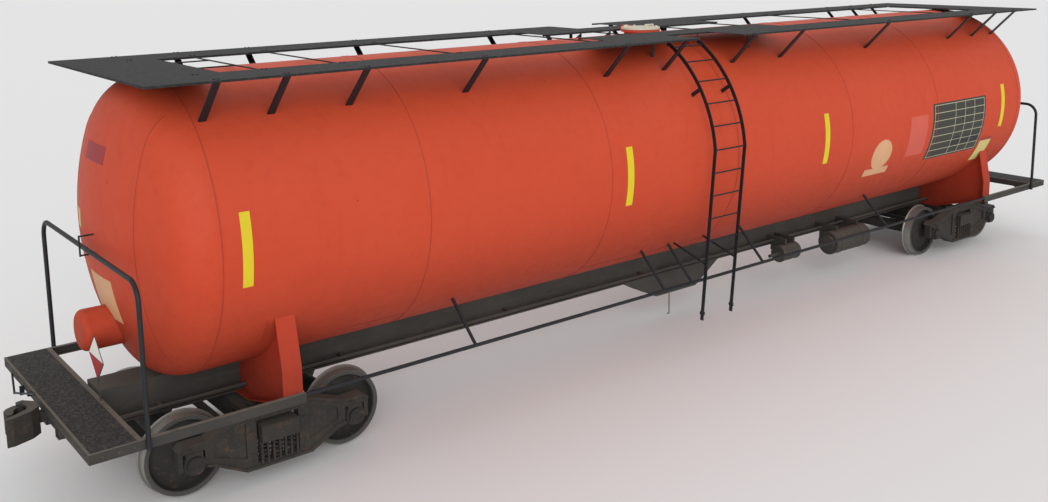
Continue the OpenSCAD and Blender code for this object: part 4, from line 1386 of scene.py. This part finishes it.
    def panels(self, side: Side) -> None:
        """Blank coloured panels beside the table.

        Args:
            side: the long side that they are on.
        """
        place, name = self.form.round(side), side.name.lower()
        rows: list[Sheet] = [
            ("red_panel", Finishes.light_red, 3.97, 4.45, -20.8, 3.2),
            ("cream_bar", Finishes.cream, 2.98, 3.60, -28.8, -24.3),
            ("lemon_plate", Finishes.lemon, 6.27, 6.62, -37.2, -21.6),
            ("lemon_plate_top", Finishes.dark_red, 6.27, 6.62, -21.4, -19.5),
        ]
        self.sheets(place, name, rows, (4, 10))
        disc, across = Shape(), math.degrees(self.disc_r / self.form.tank_r)
        disc.disc(place, self.disc_x, self.disc_angle, self.disc_r, across, FILM_BACK, self.film, 40)
        self.fitter.fit(f"cream_disc_{name}", disc.mesh("cream_disc"), Finishes.cream, "car")

    def head_panels(self, side: Side) -> None:
        """Blank panels on a dished head.

        Args:
            side: near for the A end's head, far for the B end's.
        """
        rows: list[Sheet] = [
            ("head_number_panel", Finishes.dark_red, -0.21, 0.378, 3.352, 3.525),
            ("head_cream_panel", Finishes.cream, -0.33, 0.26, 1.76, 2.216),
            ("head_lemon_plate", Finishes.lemon, 0.50, 0.68, 2.60, 2.79),
        ]
        self.sheets(self.form.head(side), side.name.lower(), rows, (8, 8))


@dataclass
class TopFittings:
    """Bolts of the manway cover and of the walkway's brackets."""

    fitter: Fitter
    repeats: Repeats
    lid_bolts: int = 8
    lid_ring: float = 0.235
    lid_top: float = 4.286
    bracket_bolt: float = 0.022
    bracket_ys: tuple[float, float] = (0.93, 1.43)
    bracket_xs: tuple[float, ...] = (-7.17, -6.47, -5.60, -4.13, -2.0, 3.45, 5.80, 6.55, 7.18)

    def build(self) -> None:
        """Makes and fits the bolts."""
        low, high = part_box("manway_lid")
        middle = Vector(((low.x + high.x) / 2, 0.0, self.lid_top))
        up = (0.0, 0.0, 1.0)
        dots = []
        for k in range(self.lid_bolts):
            a = 2 * math.pi * (k + 0.5) / self.lid_bolts
            dots.append(Dot((middle.x + self.lid_ring * math.cos(a), self.lid_ring * math.sin(a), middle.z), up))
        mesh = self.repeats.bolts("cover_bolts", dots, Finishes.lid, 0.015, 3)
        self.fitter.fit("cover_bolts", mesh, Finishes.lid, "manway_cover", 30)
        top_of_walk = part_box("side_walkways")[1].z
        dots = [
            Dot((x + dx, s * y, top_of_walk), up)
            for x in self.bracket_xs
            for s in (-1, 1)
            for dx in (-self.bracket_bolt, self.bracket_bolt)
            for y in self.bracket_ys
        ]
        mesh = self.repeats.bolts("walkway_bolts", dots, Finishes.dark_bolt, 0.011, 5)
        self.fitter.fit("walkway_bolts", mesh, Finishes.dark_bolt, "car", 30)


@dataclass
class Platforms:
    """Grit, rivets and blank hazard boards of the end platforms."""

    fitter: Fitter
    repeats: Repeats
    density: float = 900.0
    pebble: float = 0.005
    board_half: float = 0.2333
    band: float = 0.016
    board_y: float = -0.35
    deck_inner: float = 8.134
    deck_mid: float = 8.3
    deck_margin: float = 0.012
    frame_bolt_xs: tuple[float, ...] = (8.16, 8.30, 8.44)
    end_bolt_y: float = 1.38

    def build(self) -> None:
        """Makes and fits every piece of both platforms."""
        self.grit()
        self.rivets()
        self.hazard()

    def grit(self) -> None:
        """Pebbles bonded to the decks."""
        low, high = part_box("decks")
        inner, shape = self.deck_inner, bmesh.new()
        for s in (-1, 1):
            corners = [(s * inner, low.y), (s * high.x, low.y), (s * high.x, high.y), (s * inner, high.y)]
            inset = [
                (x - s * math.copysign(self.deck_margin, abs(x) - self.deck_mid), y * 0.99, high.z - 0.0005)
                for x, y in corners
            ]
            face = shape.faces.new([shape.verts.new(p) for p in (inset if s > 0 else reversed(inset))])
            face.normal_update()
        base = bpy.data.meshes.new("deck_area")
        shape.to_mesh(base)
        shape.free()
        values = {"Density": self.density, "Pebble radius": self.pebble, "Seed": 11}
        mesh = self.repeats.grit.grow("deck_grit", base, Finishes.pebble, values)
        self.fitter.fit("deck_grit", mesh, Finishes.pebble, "car", 80)

    def rivets(self) -> None:
        """Bolts along the end channel and at the rail posts' feet."""
        low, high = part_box("platform_frames")
        middle = (low.z + high.z) / 2
        dots = []
        for s in (-1, 1):
            for y in spaced(-self.end_bolt_y, self.end_bolt_y, 12):
                if abs(y) > 0.3:
                    dots.append(Dot((s * high.x, y, middle + 0.012), (float(s), 0.0, 0.0)))
            for t in (-1, 1):
                for x in self.frame_bolt_xs:
                    dots.append(Dot((s * x, t * high.y, middle), (0.0, float(t), 0.0)))
        mesh = self.repeats.bolts("platform_bolts", dots, Finishes.bolt, 0.011, 7)
        self.fitter.fit("platform_bolts", mesh, Finishes.bolt, "car", 30)

    def hazard(self) -> None:
        """White above and red below on each diamond board, both blank."""
        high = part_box("placard_posts")[1]
        half = self.board_half - self.band * 1.5
        centre_z = high.z - self.board_half
        for label, finish, sense in (("hazard_white", Finishes.white, 1), ("hazard_red", Finishes.hazard, -1)):
            shape = Shape()
            for side in Side:

                def place(u: float, v: float, lift: float) -> Vector:
                    """A corner of the half diamond, u across and v up."""
                    return side.turned(Vector((-(high.x + lift), self.board_y + u, centre_z + v)))

                def half_board(u: float, v: float, lift: float) -> Vector:
                    """Squeezes a strip into the half diamond."""
                    return place(u * (1 - v), sense * (0.004 + v * half), lift)

                shape.grid(half_board, spaced(-half, half, 6), spaced(0.0, 0.97, 6), -0.001, 0.0016)
            self.fitter.fit(f"{label}_boards", shape.mesh(label), finish, "car")


@dataclass
class Ladders:
    """Feet and rung nuts of the side ladders, whose straight parts lean in towards the foot."""

    fitter: Fitter
    repeats: Repeats
    foot_y: float = 1.545
    bend_y: float = 1.7305
    bend_z: float = 2.812
    rung_low: float = 1.59
    pitch: float = 0.305

    def bar_y(self, foot_z: float, z: float) -> float:
        """Middle of a bar at height z."""
        return self.foot_y + (z - foot_z) * (self.bend_y - self.foot_y) / (self.bend_z - foot_z)

    def build(self) -> None:
        """Flared clips at the feet and a bolt head at each end of each rung."""
        clips, dots = Shape(), []
        for node, s in (("ladder_near", -1), ("ladder_far", 1)):
            low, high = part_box(node)
            foot = low.z
            for x in (low.x, high.x):
                inward = 1 if x == low.x else -1
                turn = Matrix.Translation((x + inward * 0.006, s * self.bar_y(foot, foot + 0.1), foot + 0.10))
                turn @= Matrix.Rotation(math.radians(14 * inward), 4, "Y")
                clips.block((-0.016, -0.034, -0.022), (0.016, 0.034, 0.022), 0.004, turn)
            for step in range(5):
                z = self.rung_low + step * self.pitch
                for x, way in ((low.x, -1.0), (high.x, 1.0)):
                    dots.append(Dot((x, s * self.bar_y(foot, z), z), (way, 0.0, 0.0)))
        self.fitter.fit("ladder_foot_clips", clips.mesh("ladder_foot_clips"), Finishes.dark_bolt, "car")
        mesh = self.repeats.bolts("rung_bolts", dots, Finishes.dark_bolt, 0.009, 9)
        self.fitter.fit("rung_bolts", mesh, Finishes.dark_bolt, "car", 30)


@dataclass
class Couplers:
    """Pin heads of the couplers' knuckles."""

    fitter: Fitter
    pin_x: float = 8.725
    pin_y: float = 0.112
    pin_head: tuple[tuple[float, float], ...] = (
        (0.0, -0.01), (0.026, -0.01), (0.030, 0.002), (0.030, 0.012), (0.022, 0.02), (0.0, 0.02)
    )

    def build(self) -> None:
        """A pin head on each knuckle."""
        for end, s in (("a", -1), ("b", 1)):
            top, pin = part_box(f"knuckle_{end}")[1].z, Shape()
            pin.lathe(Vector((s * self.pin_x, -s * self.pin_y, top)), Vector((0, 0, 1)), self.pin_head, 20)
            self.fitter.fit(f"knuckle_pin_head_{end}", pin.mesh("pin_head"), Finishes.cast, f"knuckle_{end}_body")


@dataclass
class Underframe:
    """Reservoir bands, bolster bolts and the hanger straps."""

    fitter: Fitter
    repeats: Repeats
    band_rings: tuple[tuple[float, float, float, float], ...] = (
        (3.50, -0.56, 0.60, 0.19), (4.06, -0.56, 0.60, 0.19), (2.13, -0.52, 0.64, 0.13), (2.49, -0.52, 0.64, 0.13)
    )
    bolt_zs: tuple[float, float] = (0.985, 1.02)
    bolt_dx: float = 0.07
    strap_x: float = -1.3
    strap_y: float = -1.478
    strap_foot: tuple[float, float] = (-1.44, 0.69)
    strap_r: float = 0.007

    def build(self) -> None:
        """Makes and fits every piece of the underframe."""
        self.bands()
        self.bolster_bolts()
        self.strap()

    def bands(self) -> None:
        """Steel bands round the air reservoir and end rings on the brake cylinder."""
        shape = Shape()
        for x, y, z, r in self.band_rings:
            ring = [(r - 0.004, -0.02), (r + 0.005, -0.02), (r + 0.005, 0.02), (r - 0.004, 0.02), (r - 0.004, -0.02)]
            shape.lathe(Vector((x, y, z)), Vector((1, 0, 0)), ring, 40)
        bmesh.ops.remove_doubles(shape.bm, verts=shape.bm.verts, dist=0.0002)
        self.fitter.fit("reservoir_bands", shape.mesh("reservoir_bands"), Finishes.bolt, "car")

    def bolster_bolts(self) -> None:
        """Four bolt heads low on each outer bolster web."""
        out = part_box("body_bolsters")[1].y
        dots = [
            Dot((s * TRUCK_X + dx, t * out, z), (0.0, float(t), 0.0))
            for s in (-1, 1)
            for t in (-1, 1)
            for z in self.bolt_zs
            for dx in (-self.bolt_dx, self.bolt_dx)
        ]
        mesh = self.repeats.bolts("bolster_bolts", dots, Finishes.bolt, 0.010, 13)
        self.fitter.fit("bolster_bolts", mesh, Finishes.bolt, "car", 30)

    def strap(self) -> None:
        """A thin rusty strap that hangs from each side rail."""
        shape = Shape()
        for side in Side:
            path = [Vector((self.strap_x, self.strap_y, z)) for z in spaced(1.03, 0.70, 5)]
            path += [Vector((self.strap_x, *self.strap_foot))]
            shape.tube([side.turned(p) for p in path], self.strap_r, 8)
        self.fitter.fit("hanger_straps", shape.mesh("hanger_straps"), Finishes.bolt, "car")


@dataclass
class Truck:
    """Coil springs, rivets and cap bolts of one truck."""

    end: str
    centre: float
    fitter: Fitter
    repeats: Repeats
    nest_y: float = 1.003
    nest_xs: tuple[float, ...] = (-0.14, 0.0, 0.14)
    spring_low: float = 0.24
    spring_high: float = 0.47
    coil_r: float = 0.052
    wire_r: float = 0.0125
    cap_ring: float = 0.052
    inner_share: tuple[float, float] = (0.55, 0.6)
    bar_half: float = 0.012
    bar_out: float = 0.078
    grille_half: float = 0.195
    bolt_y: float = 1.058
    ear_xs: tuple[float, ...] = (-0.86, -0.92, 0.86, 0.92)
    ear_z: float = 0.615
    column_xs: tuple[float, float] = (-0.29, 0.29)
    column_zs: tuple[float, ...] = (0.27, 0.36, 0.60)

    def build(self) -> None:
        """Makes and fits every piece of the truck."""
        self.springs()
        self.guard()
        self.rivets()
        self.cap_bolts()

    def springs(self) -> None:
        """Outer and inner coils that stand for the plain nest cylinders."""
        base_points = [
            (self.centre + dx, s * self.nest_y, self.spring_low + self.wire_r) for s in (-1, 1) for dx in self.nest_xs
        ]
        joined = bmesh.new()
        inner = (self.coil_r * self.inner_share[0], self.wire_r * self.inner_share[1], 6.5)
        for radius, wire, turns in ((self.coil_r, self.wire_r, 4.5), inner):
            base = bpy.data.meshes.new("nest_points")
            base.from_pydata(base_points, [], [])
            values = {
                "Coil radius": radius, "Wire radius": wire, "Turns": turns,
                "Height": self.spring_high - self.spring_low - 2 * self.wire_r,
            }
            joined.from_mesh(self.repeats.coil.grow("coils", base, Finishes.spring, values))
        bmesh.ops.recalc_face_normals(joined, faces=joined.faces)
        mesh = bpy.data.meshes.new(f"coil_springs_{self.end}")
        joined.to_mesh(mesh)
        joined.free()
        piece = self.fitter.fit(f"coil_springs_{self.end}", mesh, Finishes.spring, f"truck_{self.end}", 60)
        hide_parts(f"springs_{self.end}")

    def guard(self) -> None:
        """Upright bars of the grille in front of each spring nest."""
        shape, half = Shape(), self.bar_half
        for s in (-1, 1):
            y = s * (self.nest_y + self.bar_out)
            for dx in spaced(-self.grille_half, self.grille_half, 6):
                x = self.centre + dx
                low = (x - half, y - half, self.spring_low - 0.006)
                shape.block(low, (x + half, y + half, self.spring_high + 0.012), 0.004)
        name = f"spring_guard_{self.end}"
        self.fitter.fit(name, shape.mesh(name), Finishes.iron, f"truck_{self.end}")

    def rivets(self) -> None:
        """Bolt heads along the side frames' outer faces."""
        spots = [(dx, self.ear_z) for dx in self.ear_xs] + [(dx, z) for dx in self.column_xs for z in self.column_zs]
        dots = [
            Dot((self.centre + dx, s * self.bolt_y, z), (0.0, float(s), 0.0)) for s in (-1, 1) for dx, z in spots
        ]
        mesh = self.repeats.bolts(f"frame_bolts_{self.end}", dots, Finishes.iron, 0.013, 17)
        self.fitter.fit(f"frame_bolts_{self.end}", mesh, Finishes.iron, f"truck_{self.end}", 30)

    def cap_bolts(self) -> None:
        """Three bolts on each bearing cap, which turn with the axle."""
        for number in "12":
            low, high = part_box(f"wheelset_{self.end}{number}")
            x, z = (low.x + high.x) / 2, (low.z + high.z) / 2
            dots = []
            for s, y in ((-1, low.y), (1, high.y)):
                for k in range(3):
                    a = math.radians(90 + 120 * k)
                    point = (x + self.cap_ring * math.cos(a), y, z + self.cap_ring * math.sin(a))
                    dots.append(Dot(point, (0.0, float(s), 0.0)))
            name = f"cap_bolts_{self.end}{number}"
            mesh = self.repeats.bolts(name, dots, Finishes.cap, 0.016, 19)
            self.fitter.fit(name, mesh, Finishes.cap, f"wheels_{self.end}{number}", 30)


@dataclass
class NodeFinishes:
    """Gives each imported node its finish."""

    nodes: dict[str, bpy.types.Object]

    def dress(self) -> None:
        """Assigns one material to each node."""
        groups: dict[Finish, tuple[str, ...]] = {
            Finishes.tank: ("tank_shell", "tank_heads", "end_vessel", "manway_neck"),
            Finishes.shaded_under_tank: ("body_bolsters", "bottom_outlet"),
            Finishes.lid: ("manway_lid",),
            Finishes.frame: ("centre_sill", "train_pipe", "outlet_skid", "brake_gear"),
            Finishes.platform: ("platform_frames",),
            Finishes.tread: ("decks",),
            Finishes.walk: ("side_walkways", "walkway_ends"),
            Finishes.rail: (
                "handrails", "head_grab_iron", "uncoupling_levers", "walkway_rods", "walkway_brackets", "ladder_near",
                "ladder_far", "ladder_braces", "side_rails",
            ),
            Finishes.board_back: ("placard_posts",),
            Finishes.cast: ("coupler_a", "coupler_b", "knuckle_a", "knuckle_b"),
        }
        plain: dict[str, Finish] = {name: finish for finish, names in groups.items() for name in names}
        for end in "ab":
            for part in ("truck_bolster", "side_frames", "springs", "bearings", "brake_beams"):
                plain[f"{part}_{end}"] = Finishes.iron
            for number in "12":
                low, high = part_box(f"wheelset_{end}{number}")
                centre = ((low.x + high.x) / 2, (low.z + high.z) / 2)
                plain[f"wheelset_{end}{number}"] = RollingSteel(f"wheel_{end}{number}", Slot.WHEEL, centre=centre)
        for name, piece in self.nodes.items():
            finish = plain[name]
            piece.data.materials.clear()
            piece.data.materials.append(finish.material())
            LOG.info("%s: %s", name, finish.name)


@dataclass
class Studio:
    """Pale floor, soft lights and the camera."""

    floor_half: float = 200.0
    eye: tuple[float, float, float] = (-10.9911, -10.8426, 5.3908)
    right: tuple[float, float, float] = (0.780995, -0.624441, -0.010941)
    up: tuple[float, float, float] = (0.112187, 0.123038, 0.986040)
    lens: float = 36.96
    shift: tuple[float, float] = (-0.0079, -0.1162)
    sky: float = 0.66
    key: float = 1.1
    fill: float = 0.35
    low_side: float = 1.0

    def build(self) -> None:
        """Makes the floor, the lights and the camera."""
        self.floor()
        self.lights()
        self.camera()

    def floor(self) -> None:
        """One large flat sheet just under the wheels."""
        half, mesh = self.floor_half, bpy.data.meshes.new("studio_floor")
        cuts = spaced(-half, half, 4)
        points = [(x, y, -0.002) for x in cuts for y in cuts]
        faces = [(5 * i + j, 5 * i + j + 5, 5 * i + j + 6, 5 * i + j + 1) for i in range(4) for j in range(4)]
        mesh.from_pydata(points, [], faces)
        mesh.materials.append(Finishes.floor.material())
        floor = bpy.data.objects.new("studio_floor", mesh)
        bpy.context.scene.collection.objects.link(floor)

    def lamp(self, name: str, energy: float, angle: float, turn: tuple[float, float, float]) -> None:
        """A distant soft light.

        Args:
            name: its name.
            energy: strength in watts a square metre.
            angle: apparent width in degrees, which softens its shadows.
            turn: Euler angles in degrees.
        """
        data = bpy.data.lights.new(name, "SUN")
        data.energy, data.angle = energy, math.radians(angle)
        lamp = bpy.data.objects.new(name, data)
        lamp.rotation_euler = [math.radians(a) for a in turn]
        bpy.context.scene.collection.objects.link(lamp)

    def lights(self) -> None:
        """An even pale world, a soft key from above, a low side light and a weak fill."""
        world = bpy.data.worlds.new("studio_world")
        bpy.context.scene.world = world
        world.use_nodes = True
        back = world.node_tree.nodes["Background"]
        back.inputs["Color"].default_value = (1.0, 1.0, 1.0, 1.0)
        back.inputs["Strength"].default_value = self.sky
        self.lamp("key_light", self.key, 45, (68, 0, -32))
        self.lamp("fill_light", self.fill, 90, (60, 0, 140))
        self.lamp("side_light", self.low_side, 60, (88, 0, -14))
        bpy.context.scene.view_settings.view_transform = "Standard"

    def camera(self) -> None:
        """The camera, above and beyond the near corner of the A end."""
        data = bpy.data.cameras.new("main_camera")
        data.sensor_width, data.lens = 36.0, self.lens
        data.shift_x, data.shift_y = self.shift
        data.clip_end = 1000.0
        camera = bpy.data.objects.new("main_camera", data)
        right, up = Vector(self.right), Vector(self.up)
        back = right.cross(up)
        turn = Matrix((right, up, back)).transposed().to_4x4()
        camera.matrix_world = Matrix.Translation(self.eye) @ turn
        bpy.context.scene.collection.objects.link(camera)
        bpy.context.scene.camera = camera


def main() -> None:
    """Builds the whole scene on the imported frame."""
    logging.basicConfig(level=logging.INFO, format="%(name)s: %(message)s")
    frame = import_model()
    form, fitter, repeats = CarForm.measured(), Fitter(), Repeats()
    NodeFinishes(frame["nodes"]).dress()
    Tank(form, fitter, repeats).build()
    TopFittings(fitter, repeats).build()
    Platforms(fitter, repeats).build()
    Ladders(fitter, repeats).build()
    Underframe(fitter, repeats).build()
    Couplers(fitter).build()
    Truck("a", -TRUCK_X, fitter, repeats).build()
    Truck("b", TRUCK_X, fitter, repeats).build()
    Studio().build()
    LOG.info("%d pieces fitted", fitter.count)


if __name__ == "__main__":
    main()
